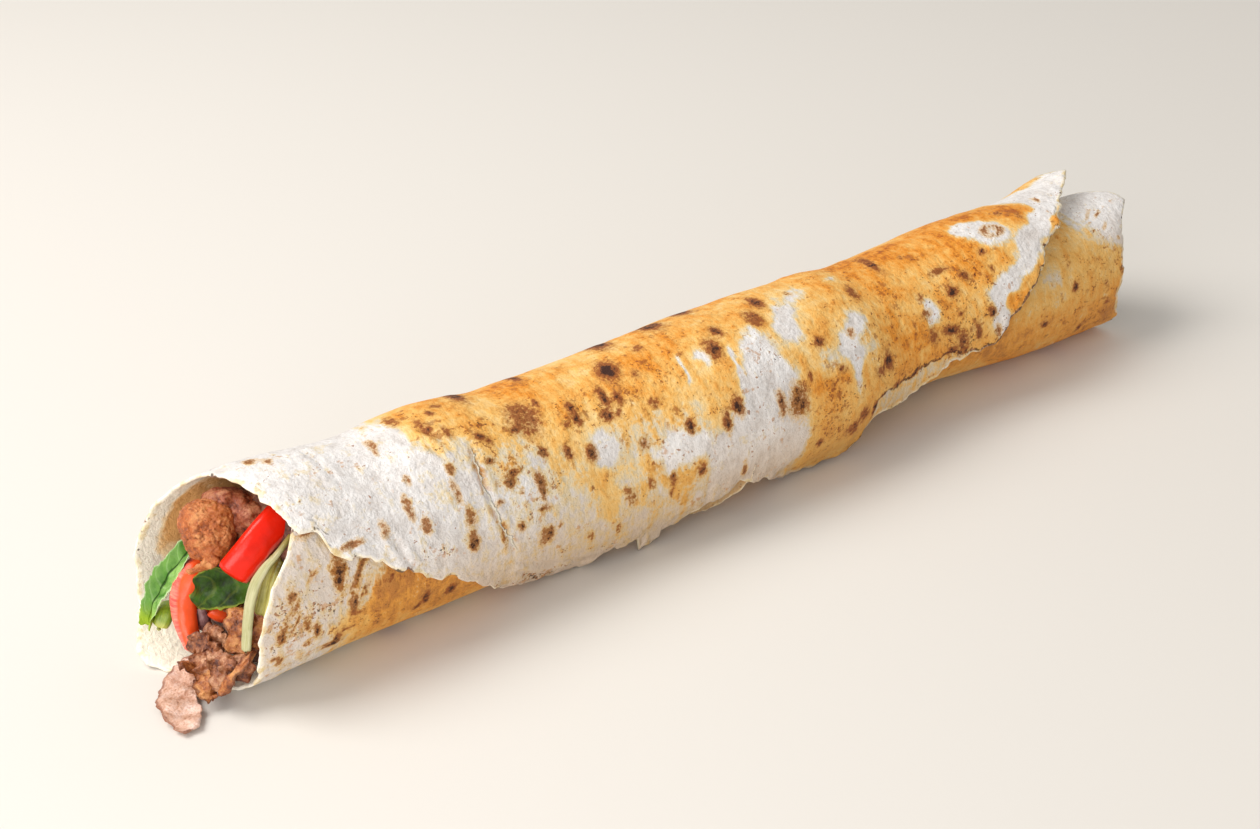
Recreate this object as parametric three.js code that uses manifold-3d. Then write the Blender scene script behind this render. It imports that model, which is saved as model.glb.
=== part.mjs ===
// Doner kebab wrap: a thin flatbread rolled round shaved meat, peppers and leaves.
// Units are millimetres. X runs along the roll with the open mouth at -X, +Y is its back, +Z is up.
// The origin lies on the resting plane, under the middle of the roll.

import * as THREE from 'three'
import Module from 'manifold-3d'
import { mergeVertices } from 'three/addons/utils/BufferGeometryUtils.js'

// ---- driving dimensions ----
const BREAD = 1.5             // thickness of the flatbread
const PITCH = 2.1             // how far one turn lies inside the turn before it
const SINK = 1.2              // how much of the round bottom is pressed flat
const CORNER_X = -157         // where the flap's near corner lies
const TIP_X = 170             // where the flap's far tip lies
const CLEAR = 0.3             // gap between pieces that touch
const MIDDLE = { x: -7.2, y: 0.5 }  // middle of the whole piece's box, from where the roll is drawn
const OUTER_ANGLE = 225       // angle round the roll at which its outer radius holds, in degrees
const BOTTOM_TURNS = 0.9      // how many turns further in the sheet's bottom lies
const LAYOUT = { along: 40, around: 38 }

// Outer radius of the roll along X, before its turns wind inwards.
const ROLL = [[-200, 31.4], [-150, 31], [-100, 30.4], [-60, 29.8], [-30, 30.3], [-10, 30.8], [10, 30.6],
  [30, 30.1], [45, 29], [58, 27], [70, 26.3], [82, 26.2], [95, 26.7], [110, 27.5], [125, 27.9],
  [140, 27.6], [180, 26.8]]

// The thin tail arches off the resting plane and a little backwards: place along X, rise and shift.
const TAIL_RISE = [[35, 0], [70, 3.4], [95, 3.2], [135, 0.6], [160, 0]]
const TAIL_SHIFT = [[35, 0], [75, 3], [130, 1], [170, 0]]

// Free edge of the outer flap: place along X and angle round the roll, in degrees from +Y towards +Z.
const FLAP_EDGE = [[-157, 133], [-150, 147], [-134, 167], [-123, 182], [-112, 193], [-103, 211], [-86, 229],
  [-68, 231], [-56, 219], [-45, 226], [-30, 214], [-14, 204], [0, 212], [14, 228], [35, 228], [46, 204],
  [60, 202], [74, 192], [98, 185], [108, 171], [124, 148], [136, 128],
  [149, 108], [170, 76]]

// How far the flap stands off the turn below at its free edge along X, and how far round it stays loose.
const FLAP_LIFT = [[-157, 0.3], [-95, 0.8], [-60, 3.6], [-30, 3.8], [0, 2.8], [45, 3.2], [90, 4], [130, 4.2],
  [155, 6.2], [170, 10]]
const FLAP_REACH = [[-157, 50], [-60, 60], [-10, 120], [20, 220], [90, 250], [170, 160]]

// A fold that stands up across the top of the flap: its place, height and half width along X,
// and the angles between which it rises and falls away.
const FOLD = { x: -103, height: 2.8, reach: 27, rise: [20, 70], fall: [95, 165] }

// Angle at which the sheet ends inside the roll, in degrees.
const INNER_END = { mouth: -285, far: -342 }

// The mouth flares towards one side, the far end swells beside the flap's tip, and the whole is lumpy.
const FLARE = { height: 2.5, reach: 0.08, towards: 20 }
const SWELL = { height: 2, from: 0.9, towards: -275, reach: 60 }
const LUMPS = { height: 0.5, length: 40 }

// Rims of the sheet: how far the mouth and the far end reach along X at each angle, read inwards.
const MOUTH_RIM = [[133, -157], [95, -164], [58, -170], [30, -180], [0, -187], [-30, -191], [-57, -196],
  [-72, -191], [-90, -184], [-135, -177], [-177, -175], [-197, -171], [-231, -157], [-290, -146]]
const FAR_RIM = [[76, 170], [30, 162], [-40, 164], [-100, 172], [-129, 174], [-173, 167], [-208, 171],
  [-240, 178], [-258, 186], [-285, 178], [-345, 168]]

// The mouth leans: how far it moves along X for each millimetre towards the back and upwards.
const MOUTH_LEAN = { back: -0.27, up: 0.36 }

// The filling stays this far inside the roll's outer radius, and between these places along X.
const FILLING = { inset: 5.9, front: -172, back: 150, lumps: 0.5, soft: 60, stations: 18, sides: 18 }

const radians = THREE.MathUtils.degToRad
const mix = THREE.MathUtils.lerp
const smoothstep = THREE.MathUtils.smoothstep
const wasm = await Module()
wasm.setup()

// ---- small helpers ----

// A smooth value between the knots [place, value], whose places all rise or all fall.
function follow(knots, at) {
  const rising = knots[1][0] > knots[0][0]
  const order = rising ? 1 : -1
  const last = knots.length - 1
  if (order * at <= order * knots[0][0]) return knots[0][1]
  if (order * at >= order * knots[last][0]) return knots[last][1]
  let k = 0
  while (order * at > order * knots[k + 1][0]) k += 1
  const slope = (a, b) => (knots[b][1] - knots[a][1]) / (knots[b][0] - knots[a][0])
  const start = slope(Math.max(k - 1, 0), k + 1)
  const end = slope(k, Math.min(k + 2, last))
  const span = knots[k + 1][0] - knots[k][0]
  const t = (at - knots[k][0]) / span
  const rise = (1 + 2 * t) * (1 - t) ** 2 * knots[k][1] + t * t * (3 - 2 * t) * knots[k + 1][1]
  return rise + span * (t * (1 - t) ** 2 * start + t * t * (t - 1) * end)
}

// A gentle irregular wave in two directions, between about -1 and 1.
function wander(a, b, seed) {
  const first = Math.sin(a * 1.7 + b * 1.3 + seed)
  const second = Math.sin(a * 3.1 - b * 2.3 + seed * 2.1)
  const third = Math.sin(a * 0.8 + b * 3.7 + seed * 3.7)
  return (first + second * 0.7 + third * 0.6) / 2.3
}

function geometryFrom(points, faces) {
  const geometry = new THREE.BufferGeometry()
  geometry.setAttribute('position', new THREE.Float32BufferAttribute(points.flat(), 3))
  geometry.setIndex(faces.flat())
  return geometry
}

function apart(first, second) {
  return Math.hypot(first[0] - second[0], first[1] - second[1], first[2] - second[2])
}

// A closed thin solid from place(u, v, side), where side is -1 on one face and 1 on the other.
// Both faces are split into triangles alike, along the shorter diagonal, and a border strip joins them
// all round.
function sheetSolid(place, columns, rows) {
  const points = []
  const faces = []
  const at = (side, i, j) => (side * (columns + 1) + i) * (rows + 1) + j
  for (let side = 0; side < 2; side += 1) {
    for (let i = 0; i <= columns; i += 1) {
      for (let j = 0; j <= rows; j += 1) points.push(place(i / columns, j / rows, side * 2 - 1))
    }
  }
  for (let i = 0; i < columns; i += 1) {
    for (let j = 0; j < rows; j += 1) {
      const [a, b, c, d] = [at(1, i, j), at(1, i + 1, j), at(1, i + 1, j + 1), at(1, i, j + 1)]
      const [e, f, g, h] = [at(0, i, j), at(0, i + 1, j), at(0, i + 1, j + 1), at(0, i, j + 1)]
      const across = apart(points[a], points[c]) > apart(points[b], points[d])
      if (across) faces.push([a, b, d], [b, c, d], [e, h, f], [f, h, g])
      else faces.push([a, b, c], [a, c, d], [e, g, f], [e, h, g])
    }
  }
  for (let i = 0; i < columns; i += 1) {
    faces.push([at(0, i, 0), at(0, i + 1, 0), at(1, i + 1, 0)], [at(0, i, 0), at(1, i + 1, 0), at(1, i, 0)])
    faces.push([at(1, i, rows), at(1, i + 1, rows), at(0, i + 1, rows)])
    faces.push([at(1, i, rows), at(0, i + 1, rows), at(0, i, rows)])
  }
  for (let j = 0; j < rows; j += 1) {
    faces.push([at(1, 0, j), at(1, 0, j + 1), at(0, 0, j + 1)], [at(1, 0, j), at(0, 0, j + 1), at(0, 0, j)])
    faces.push([at(0, columns, j), at(0, columns, j + 1), at(1, columns, j + 1)])
    faces.push([at(0, columns, j), at(1, columns, j + 1), at(1, columns, j)])
  }
  return geometryFrom(points, faces)
}

// ---- flatbread ----

// Height of the roll's axis at x, so that its bottom is pressed flat on the resting plane.
function axisHeight(x) {
  return follow(ROLL, x) - PITCH * BOTTOM_TURNS - SINK + follow(TAIL_RISE, x)
}

// Fades from 1 at zero to 0 at the reach.
function fade(distance, reach) {
  return 1 - smoothstep(distance, 0, reach)
}

// One point of the flatbread: u along the roll, v round it from the flap's edge inwards.
// Each turn is a spiral step inside the last, and the outer flap stands off it near its free edge.
function breadPoint(u, v, side, spare = 0) {
  const edgeX = mix(CORNER_X, TIP_X, u)
  const edgeAngle = follow(FLAP_EDGE, edgeX)
  const over = (spare * 360) / (Math.PI * 2 * ROLL[0][1])
  const angle = mix(edgeAngle + over, mix(INNER_END.mouth, INNER_END.far, u) - over, v)
  const inward = edgeAngle - angle
  const mouthShift = (follow(MOUTH_RIM, angle) - CORNER_X) * (1 - u) ** 4
  const farShift = (follow(FAR_RIM, angle) - TIP_X) * u ** 4
  const x = edgeX + mouthShift + farShift + spare * (2 * u - 1)
  const turn = radians(angle)
  const spiral = follow(ROLL, x) - BREAD / 2 - PITCH * (OUTER_ANGLE - angle) / 360
  const lift = follow(FLAP_LIFT, edgeX) * fade(inward, follow(FLAP_REACH, edgeX))
  const crossing = smoothstep(angle, ...FOLD.rise) * (1 - smoothstep(angle, ...FOLD.fall))
  const fold = FOLD.height * fade(Math.abs(x - FOLD.x), FOLD.reach) * crossing
  const facing = 0.5 + 0.5 * Math.cos(turn - radians(FLARE.towards))
  const flare = FLARE.height * fade(u, FLARE.reach) * facing
  const beside = fade(Math.abs(angle - SWELL.towards), SWELL.reach)
  const swell = SWELL.height * smoothstep(u, SWELL.from, 1) * beside
  const lumps = LUMPS.height * wander(x / LUMPS.length + Math.cos(turn), 2 * Math.sin(turn), 1)
  const radius = spiral + lift + fold + flare + swell + lumps + side * (BREAD / 2 + spare)
  const floor = (1 - side) / 2 * BREAD - spare * side
  const y = radius * Math.cos(turn) + follow(TAIL_SHIFT, x)
  const z = axisHeight(x) + radius * Math.sin(turn)
  return [x, y, Math.max(z, floor)]
}

// ---- filling pieces ----

// A closed soft tube round a path, from a ring radius(u, turn); both ends close in a point.
function lump(path, radius, stations, sides) {
  const curve = new THREE.CatmullRomCurve3(path.map((point) => new THREE.Vector3(...point)))
  const points = [curve.getPoint(0).toArray(), curve.getPoint(1).toArray()]
  const faces = []
  const at = (i, j) => 2 + i * sides + (j % sides)
  for (let i = 0; i < stations; i += 1) {
    const u = (1 - Math.cos((Math.PI * (i + 1)) / (stations + 1))) / 2
    const along = curve.getTangent(u)
    const first = new THREE.Vector3(0, 0, 1).cross(along).normalize()
    const second = along.clone().cross(first)
    for (let j = 0; j < sides; j += 1) {
      const turn = (2 * Math.PI * j) / sides
      const reach = radius(u, turn)
      const point = curve.getPoint(u)
      point.addScaledVector(first, reach * Math.cos(turn)).addScaledVector(second, reach * Math.sin(turn))
      points.push(point.toArray())
    }
  }
  for (let j = 0; j < sides; j += 1) {
    faces.push([0, at(0, j + 1), at(0, j)], [1, at(stations - 1, j), at(stations - 1, j + 1)])
    for (let i = 0; i < stations - 1; i += 1) {
      faces.push([at(i, j), at(i, j + 1), at(i + 1, j + 1)], [at(i, j), at(i + 1, j + 1), at(i + 1, j)])
    }
  }
  return geometryFrom(points, faces)
}

// A strip of food carried along a path: so wide and so thick, with its width along `across`.
// `bulge(u, v)` lifts its middle surface, and `taper(u)` narrows it.
function strip(shape, spare = 0) {
  const { path, across, width, thickness, grid, bulge = () => 0, taper = () => 1 } = shape
  const curve = new THREE.CatmullRomCurve3(path.map((point) => new THREE.Vector3(...point)))
  const wide = new THREE.Vector3(...across)
  const place = (u, v, side) => {
    const along = curve.getTangent(u)
    const right = wide.clone().addScaledVector(along, -wide.dot(along)).normalize()
    const up = along.clone().cross(right)
    const rounded = 1 - 0.4 * Math.abs(2 * v - 1) ** 4
    const point = curve.getPoint(u).addScaledVector(along, (2 * u - 1) * spare)
    point.addScaledVector(right, (v - 0.5) * (width * taper(u) + 2 * spare))
    point.addScaledVector(up, bulge(u, v) + side * ((thickness / 2) * rounded + spare))
    return point.toArray()
  }
  return sheetSolid(place, ...grid)
}

// Strips of sweet pepper: one lies across the mouth under the flap, one stands curved at the left,
// and the cut end of a third shows between them.
const UPPER_PEPPER = {
  path: [[-172, -8.6, 37.4], [-165, -10.4, 44.5], [-158, -9.5, 49], [-150, -6, 50]],
  across: [-3.4, 7.4, 2.8], width: 8.3, thickness: 3.4, grid: [8, 5],
  bulge: (u, v) => 0.8 * (1 - (2 * v - 1) ** 2),
}
const LOWER_PEPPER = {
  path: [[-171, 13, 27.5], [-178.2, 9.8, 28.6], [-182.6, 9.4, 22.6], [-184.2, 7.6, 17],
    [-184.2, 3.2, 10.8]],
  across: [5.2, -8.4, 2.6], width: 7.2, thickness: 3.4, grid: [10, 4],
  bulge: (u, v) => 1.6 * (1 - Math.abs(2 * v - 1) ** 1.5),
}
const PEPPER_END = {
  path: [[-177.5, -1, 21.4], [-166, -1, 20]],
  across: [0.25, -0.9, 0.2], width: 4.8, thickness: 3.6, grid: [3, 3],
}

// Leaves: a light one folded down its middle at the left wall, and a dark one facing out of the mouth.
const FOLDED_LEAF = {
  path: [[-171, 13, 36.5], [-177.2, 15.1, 33.7], [-182, 18.1, 26.4], [-185.9, 19.4, 20.2],
    [-189.6, 18.8, 13.2]],
  across: [1.4, -6.1, -0.6], width: 7, thickness: 0.9, grid: [12, 6],
  bulge: (u, v) => 1.7 * Math.abs(2 * v - 1) + 0.35 * Math.sin(u * 17 + v * 5),
  taper: (u) => 0.55 + 0.45 * Math.sin(Math.PI * Math.min(u * 1.15, 1)),
}
const DARK_LEAF = {
  path: [[-180, 7.2, 27], [-174.5, 0.6, 29.5], [-170.5, -8, 30]],
  across: [2.7, 4.5, 8.1], width: 10.5, thickness: 0.9, grid: [10, 7],
  bulge: (u, v) => 0.8 * Math.sin(u * 6 + v * 4) + 0.5 * Math.sin(v * 11),
  taper: (u) => 0.45 + 0.55 * Math.sin(Math.PI * (0.12 + u * 0.8)),
}
const LEAF_STALK = {
  path: [[-188, 15.6, 14.2], [-178, 14, 17]],
  across: [1, -3, -0.4], width: 3.6, thickness: 2.6, grid: [3, 3],
}

// Shreds of white cabbage: one hangs down in front, and a broader one stands behind it.
const CABBAGE_SHRED = {
  path: [[-154, -13, 45], [-164.4, -15.2, 40.8], [-169.4, -15.5, 35.4], [-172.9, -15.8, 29.6],
    [-175, -17.2, 23.8], [-177, -18.8, 19]],
  across: [1, -2, 0.6], width: 2.6, thickness: 1.3, grid: [14, 3],
}
const BROAD_SHRED = {
  path: [[-155, -13, 42], [-163.4, -16, 38.4], [-166, -16.2, 33], [-169, -16.8, 27.4]],
  across: [1, -2.2, 0.3], width: 5, thickness: 1.4, grid: [8, 4],
  bulge: (u, v) => 0.5 * Math.sin(v * 9),
}
const ONION_BIT = {
  path: [[-180, 5, 17.4], [-171, 4, 17]],
  across: [0.3, -0.9, 0.3], width: 4.2, thickness: 3, grid: [3, 3],
}

// A thin slice of meat that slid out of the mouth and lies in front of it.
const FALLEN_SLICE = {
  path: [[-178, 2.5, 7.5], [-185.4, 1.6, 5.4], [-191, -3.4, 3.2], [-194.8, -10.4, 2.3],
    [-196.8, -17.8, 1.9]],
  across: [4.7, -2, 0], width: 11.5, thickness: 1.6, grid: [14, 8],
  bulge: (u, v) => 0.45 * Math.sin(u * 13 + v * 6) + 0.4 * (2 * v - 1) ** 2,
  taper: (u) => 0.75 + 0.3 * Math.sin(3 * u) - 0.4 * u ** 4,
}

// Shaved meat: each slice comes out of the filling and folds over. Five show at the mouth, and two at
// the far end.
const SLICES = [
  { width: 11, wave: 1, path: [[-152, -9, 22], [-170, -10, 24.5], [-175.5, -11.5, 21], [-177.5, -13, 14.5]] },
  { width: 9, wave: 2, path: [[-155, -1, 15], [-177, -1.6, 16], [-182, -2.8, 12.4], [-184.4, -3.6, 8.4]] },
  { width: 9, wave: 3, path: [[-155, -7, 9], [-176, -9.4, 12], [-182, -10.8, 10], [-186, -12.4, 6.4]] },
  { width: 8.5, wave: 4, path: [[-150, -15, 13], [-172, -18, 17.6], [-178.6, -19, 14], [-182, -18.6, 8.4]] },
  { width: 8, wave: 5, path: [[-155, 3, 7], [-180, 0.4, 7.6], [-186.5, -4.6, 4.6]] },
  { width: 14, wave: 6, path: [[128, -5, 15], [148, -6, 17], [157, -8, 13]] },
  { width: 13, wave: 7, path: [[128, 6, 27], [149, 6, 29], [156, 4, 33]] },
]

function meatSlice({ path, width, wave }) {
  const bulge = (u, v) => (0.4 + 0.9 * u) * Math.sin(v * 9 + wave * 2) + 0.5 * Math.sin(u * 14 + v * 4 + wave)
  const taper = (u) => 1 + 0.12 * Math.sin(u * 16 + wave)
  return { path, across: [-0.35, 0.9, -0.25], width, thickness: 2, grid: [8, 5], bulge, taper }
}

// The ball of meat at the top of the mouth, with its duller end behind it.
function meatBall(spare = 0) {
  const path = [[-180, 7.2, 41.6], [-172, 7.4, 42.4], [-163, 6, 45], [-153, 3, 46.5]]
  const radius = (u, turn) => {
    const round = Math.sqrt(1 - (2 * Math.min(u, 0.5) - 1) ** 2) * (u < 0.5 ? 1 : mix(1, 0.55, 2 * u - 1))
    const bumps = 1 + 0.07 * wander(u * 9, turn * 2, 3)
    return 8 * Math.max(round, 0.1) * bumps * Math.min(1, (1 - u) * 9) + spare
  }
  return lump(path, radius, 12, 16)
}

// The core of the filling runs through the whole roll, just inside the bread.
function fillingCore() {
  const ends = [FILLING.front, FILLING.back]
  const path = [0, 0.2, 0.4, 0.6, 0.7, 0.8, 0.9, 1].map((share) => {
    const x = mix(...ends, share)
    return [x, follow(TAIL_SHIFT, x), axisHeight(x)]
  })
  const radius = (u, turn) => {
    const x = mix(...ends, u)
    const round = Math.min(1, (u * 60) ** 0.3, ((1 - u) * 60) ** 0.3)
    return (follow(ROLL, x) - FILLING.inset + FILLING.lumps * wander(x / 9, turn * 2, 5)) * round
  }
  const core = lump(path, radius, FILLING.stations, FILLING.sides)
  const places = core.attributes.position
  for (let i = 0; i < places.count; i += 1) {
    const [x, y, z] = [places.getX(i), places.getY(i), places.getZ(i)]
    const lean = MOUTH_LEAN.back * y + MOUTH_LEAN.up * (z - axisHeight(x))
    places.setX(i, x + lean * fade(x - FILLING.front, FILLING.soft))
  }
  return core
}

// ---- joining and cutting ----

function solidFrom(geometry) {
  const merged = mergeVertices(geometry.clone(), 1e-4)
  const vertProperties = new Float32Array(merged.attributes.position.array)
  const triVerts = new Uint32Array(merged.index.array)
  return new wasm.Manifold(new wasm.Mesh({ numProp: 3, vertProperties, triVerts }))
}

function geometryOf(solid) {
  const mesh = solid.getMesh()
  const geometry = new THREE.BufferGeometry()
  geometry.setAttribute('position', new THREE.Float32BufferAttribute(mesh.vertProperties, 3))
  geometry.setIndex(Array.from(mesh.triVerts))
  return geometry
}

// The largest body of a solid, without the scraps that a cut leaves.
function largest(solid) {
  const bodies = solid.decompose()
  return bodies.reduce((best, body) => (body.volume() > best.volume() ? body : best))
}

function cutBy(solid, cutters) {
  return largest(cutters.reduce((rest, cutter) => rest.subtract(cutter), solid))
}

// The roll is drawn about its own axis and then moved so that the origin is under the middle of its box.
const group = new THREE.Group()
group.name = 'doner_wrap'
group.position.set(-MIDDLE.x, -MIDDLE.y, 0)

function addPiece(name, geometry, colour, roughness) {
  const material = new THREE.MeshStandardMaterial({ color: colour, roughness, flatShading: true })
  const mesh = new THREE.Mesh(geometry, material)
  mesh.name = name
  group.add(mesh)
}

// Pieces nearer the front come first, and each later piece gives way to them by the gap.
const FRONT_PIECES = [
  ['cabbage_shred', CABBAGE_SHRED, 0xdfe3b0, 0.5],
  ['pepper_lower', LOWER_PEPPER, 0xe4412a, 0.35],
  ['leaf_dark', DARK_LEAF, 0x2f6b2c, 0.5],
  ['pepper_upper', UPPER_PEPPER, 0xd81e12, 0.3],
  ['leaf_folded', FOLDED_LEAF, 0x5f9a4c, 0.5],
  ['leaf_stalk', LEAF_STALK, 0x9fbf3e, 0.5],
  ['shred_broad', BROAD_SHRED, 0xc8c25a, 0.5],
  ['pepper_end', PEPPER_END, 0xe8301c, 0.35],
  ['onion_bit', ONION_BIT, 0x8f6a66, 0.5],
  ['fallen_slice', FALLEN_SLICE, 0xc08f76, 0.6],
]

const bread = sheetSolid(breadPoint, LAYOUT.along, LAYOUT.around)
const widerBread = (u, v, side) => breadPoint(u, v, side, CLEAR)
const breadCutter = solidFrom(sheetSolid(widerBread, LAYOUT.along, LAYOUT.around))
const cutters = [breadCutter]
addPiece('flatbread', bread, 0xe6ddcb, 0.85)
for (const [name, shape, colour, roughness] of FRONT_PIECES) {
  addPiece(name, geometryOf(cutBy(solidFrom(strip(shape)), cutters)), colour, roughness)
  cutters.push(solidFrom(strip(shape, CLEAR)))
}
const ball = cutBy(solidFrom(meatBall()), cutters)
addPiece('meat_ball', geometryOf(ball), 0xa8683c, 0.6)
cutters.push(solidFrom(meatBall(CLEAR)))

const slices = SLICES.map((slice) => solidFrom(strip(meatSlice(slice))))
const heap = slices.reduce((sum, slice) => sum.add(slice), solidFrom(fillingCore()))
addPiece('shaved_meat', geometryOf(cutBy(heap, cutters)), 0x8f5a3a, 0.65)

export default group
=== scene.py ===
"""A doner kebab wrap: a long flatbread roll with an open, filled mouth.

Lengths inside the classes are millimetres in the roll's drawing frame: X runs along the roll with the
open mouth at -X, +Y is its back and +Z is up. Every mesh is moved to the part's frame, in metres, as it
is made. Angles round the roll are degrees from +Y towards +Z, and fall as the sheet winds inwards.
"""

import functools
import itertools
import logging
from collections.abc import Callable, Mapping, Sequence
from dataclasses import dataclass
from enum import Enum

import bpy
import numpy as np
from mathutils import Matrix


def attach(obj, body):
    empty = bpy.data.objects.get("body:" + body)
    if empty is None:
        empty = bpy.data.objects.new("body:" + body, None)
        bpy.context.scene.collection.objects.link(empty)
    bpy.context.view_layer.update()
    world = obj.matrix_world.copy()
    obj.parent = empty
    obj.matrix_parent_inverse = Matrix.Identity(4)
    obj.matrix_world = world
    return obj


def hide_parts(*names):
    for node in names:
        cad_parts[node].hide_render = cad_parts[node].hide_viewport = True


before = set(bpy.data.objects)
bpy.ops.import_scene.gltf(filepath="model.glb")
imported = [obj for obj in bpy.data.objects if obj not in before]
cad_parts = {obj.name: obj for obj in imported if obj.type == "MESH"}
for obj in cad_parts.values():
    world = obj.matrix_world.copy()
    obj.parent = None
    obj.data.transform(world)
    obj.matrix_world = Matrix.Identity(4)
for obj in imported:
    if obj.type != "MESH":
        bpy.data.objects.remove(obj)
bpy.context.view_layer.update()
LOG = logging.getLogger("wrap")

Array = np.ndarray
Colour = tuple[float, float, float]
Knots = Sequence[tuple[float, float]]
Point = tuple[float, float, float]

MIDDLE = np.array([-7.2, 0.5, 0.0])  # middle of the whole piece's box in the drawing frame
METRE = 0.001
UP = np.array([0.0, 0.0, 1.0])
FULL_TURN = 2 * np.pi

# Large odd numbers that scatter a corner's place and a seed over whole numbers of 32 bits.
CORNER_KEYS = np.array([374761393, 668265263, 1440662683])
SEED_KEY, STIR_KEY, ALL_BITS = 1274126177, 1103515245, 0xFFFFFFFF


# ---------------------------------------------------------------------------------------------
# Small sums on whole arrays
# ---------------------------------------------------------------------------------------------


def follow(knots: Knots, at: Array) -> Array:
    """A smooth curve through knots: cubic Hermite pieces whose slopes join each knot's neighbours.

    Args:
        knots: Places and values; the places all rise or all fall.
        at: Places to read the curve at. Past its ends it keeps its end value.

    Returns:
        The curve's values.
    """
    table = np.array(knots, dtype=float)
    if table[1, 0] < table[0, 0]:
        table = table[::-1]
    place, value = table[:, 0], table[:, 1]
    last = len(place) - 1
    at = np.clip(at, place[0], place[-1])
    k = np.clip(np.searchsorted(place, at, side="right") - 1, 0, last - 1)
    before = np.maximum(np.arange(last + 1) - 1, 0)
    after = np.minimum(np.arange(last + 1) + 1, last)
    slope = (value[after] - value[before]) / (place[after] - place[before])
    span = place[k + 1] - place[k]
    t = (at - place[k]) / span
    rise = (1 + 2 * t) * (1 - t) ** 2 * value[k] + t * t * (3 - 2 * t) * value[k + 1]
    return rise + span * (t * (1 - t) ** 2 * slope[k] + t * t * (t - 1) * slope[k + 1])


def smooth(value: Array, low: float, high: float) -> Array:
    """Rises from 0 at low to 1 at high, with level ends: 3t^2 - 2t^3."""
    t = np.clip((value - low) / (high - low), 0.0, 1.0)
    return t * t * (3.0 - 2.0 * t)


def fade(distance: Array, reach: Array | float) -> Array:
    """Falls from 1 at no distance to 0 at the reach, with level ends: 1 - 3t^2 + 2t^3."""
    t = np.clip(distance / reach, 0.0, 1.0)
    return 1.0 - t * t * (3.0 - 2.0 * t)


def wander(a: Array, b: Array, seed: float) -> Array:
    """A gentle irregular wave in two directions: the sum of three sines, between about -1 and 1.

    Args:
        a: Place in the first direction.
        b: Place in the second direction.
        seed: Shifts the sines.

    Returns:
        One number a place.
    """
    first = np.sin(1.7 * a + 1.3 * b + seed)
    second = np.sin(3.1 * a - 2.3 * b + 2.1 * seed)
    third = np.sin(0.8 * a + 3.7 * b + 3.7 * seed)
    return (first + 0.7 * second + 0.6 * third) / 2.3


def grain(points: Array, seed: int) -> Array:
    """Smooth noise between -1 and 1: a random number at each whole-number corner, blended between.

    Args:
        points: Places, with the last axis holding three numbers.
        seed: Picks one noise among many.

    Returns:
        One number a place.
    """
    cell = np.floor(points).astype(np.int64)
    share = points - cell
    share = share * share * (3.0 - 2.0 * share)
    total = np.zeros(points.shape[:-1])
    for corner in map(np.array, itertools.product((0, 1), repeat=3)):
        mixed = (((cell + corner) * CORNER_KEYS).sum(axis=-1) + seed * SEED_KEY) & ALL_BITS
        mixed = ((mixed ^ (mixed >> 13)) * STIR_KEY) & ALL_BITS
        value = ((mixed ^ (mixed >> 16)) & 0xFFFF) / 32767.5 - 1.0
        total += value * np.prod(np.where(corner == 1, share, 1.0 - share), axis=-1)
    return total


def cloud(points: Array, size: float, seed: int, layers: int = 3) -> Array:
    """Noise with finer noise on it: each layer is half as large and a little over half as strong.

    Args:
        points: Places, with the last axis holding three numbers.
        size: Size of the coarsest lumps, in millimetres.
        seed: Picks one noise among many.
        layers: How many noises are added.

    Returns:
        One number a place, between about -1 and 1.
    """
    total = np.zeros(points.shape[:-1])
    for layer in range(layers):
        total += grain(points * (2.0**layer / size), seed + 17 * layer) * 0.55**layer
    return total / 1.6


def line_distance(a: Array, b: Array, line: Knots) -> Array:
    """Distance from each place (a, b) to the nearest point of a line with straight parts.

    Args:
        a: First coordinates.
        b: Second coordinates.
        line: The line's corners.

    Returns:
        One distance a place.
    """
    best = np.full(np.shape(a), np.inf)
    for (a0, b0), (a1, b1) in itertools.pairwise(line):
        run, climb = a1 - a0, b1 - b0
        share = ((a - a0) * run + (b - b0) * climb) / (run * run + climb * climb)
        share = np.clip(share, 0.0, 1.0)
        best = np.minimum(best, np.hypot(a - a0 - share * run, b - b0 - share * climb))
    return best


def unit(vectors: Array) -> Array:
    """The vectors, each made one long."""
    return vectors / np.maximum(np.linalg.norm(vectors, axis=-1, keepdims=True), 1e-9)


def net(down: Array, across: Array) -> tuple[Array, Array]:
    """Two parameters on a grid: one that changes down the rows, and one along them."""
    return np.meshgrid(down, across, indexing="ij")


def once_round(sides: int) -> Array:
    """Angles in radians at so many even steps once round."""
    return np.linspace(0, FULL_TURN, sides + 1)[:-1]


# ---------------------------------------------------------------------------------------------
# Meshes from whole arrays
# ---------------------------------------------------------------------------------------------


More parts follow.
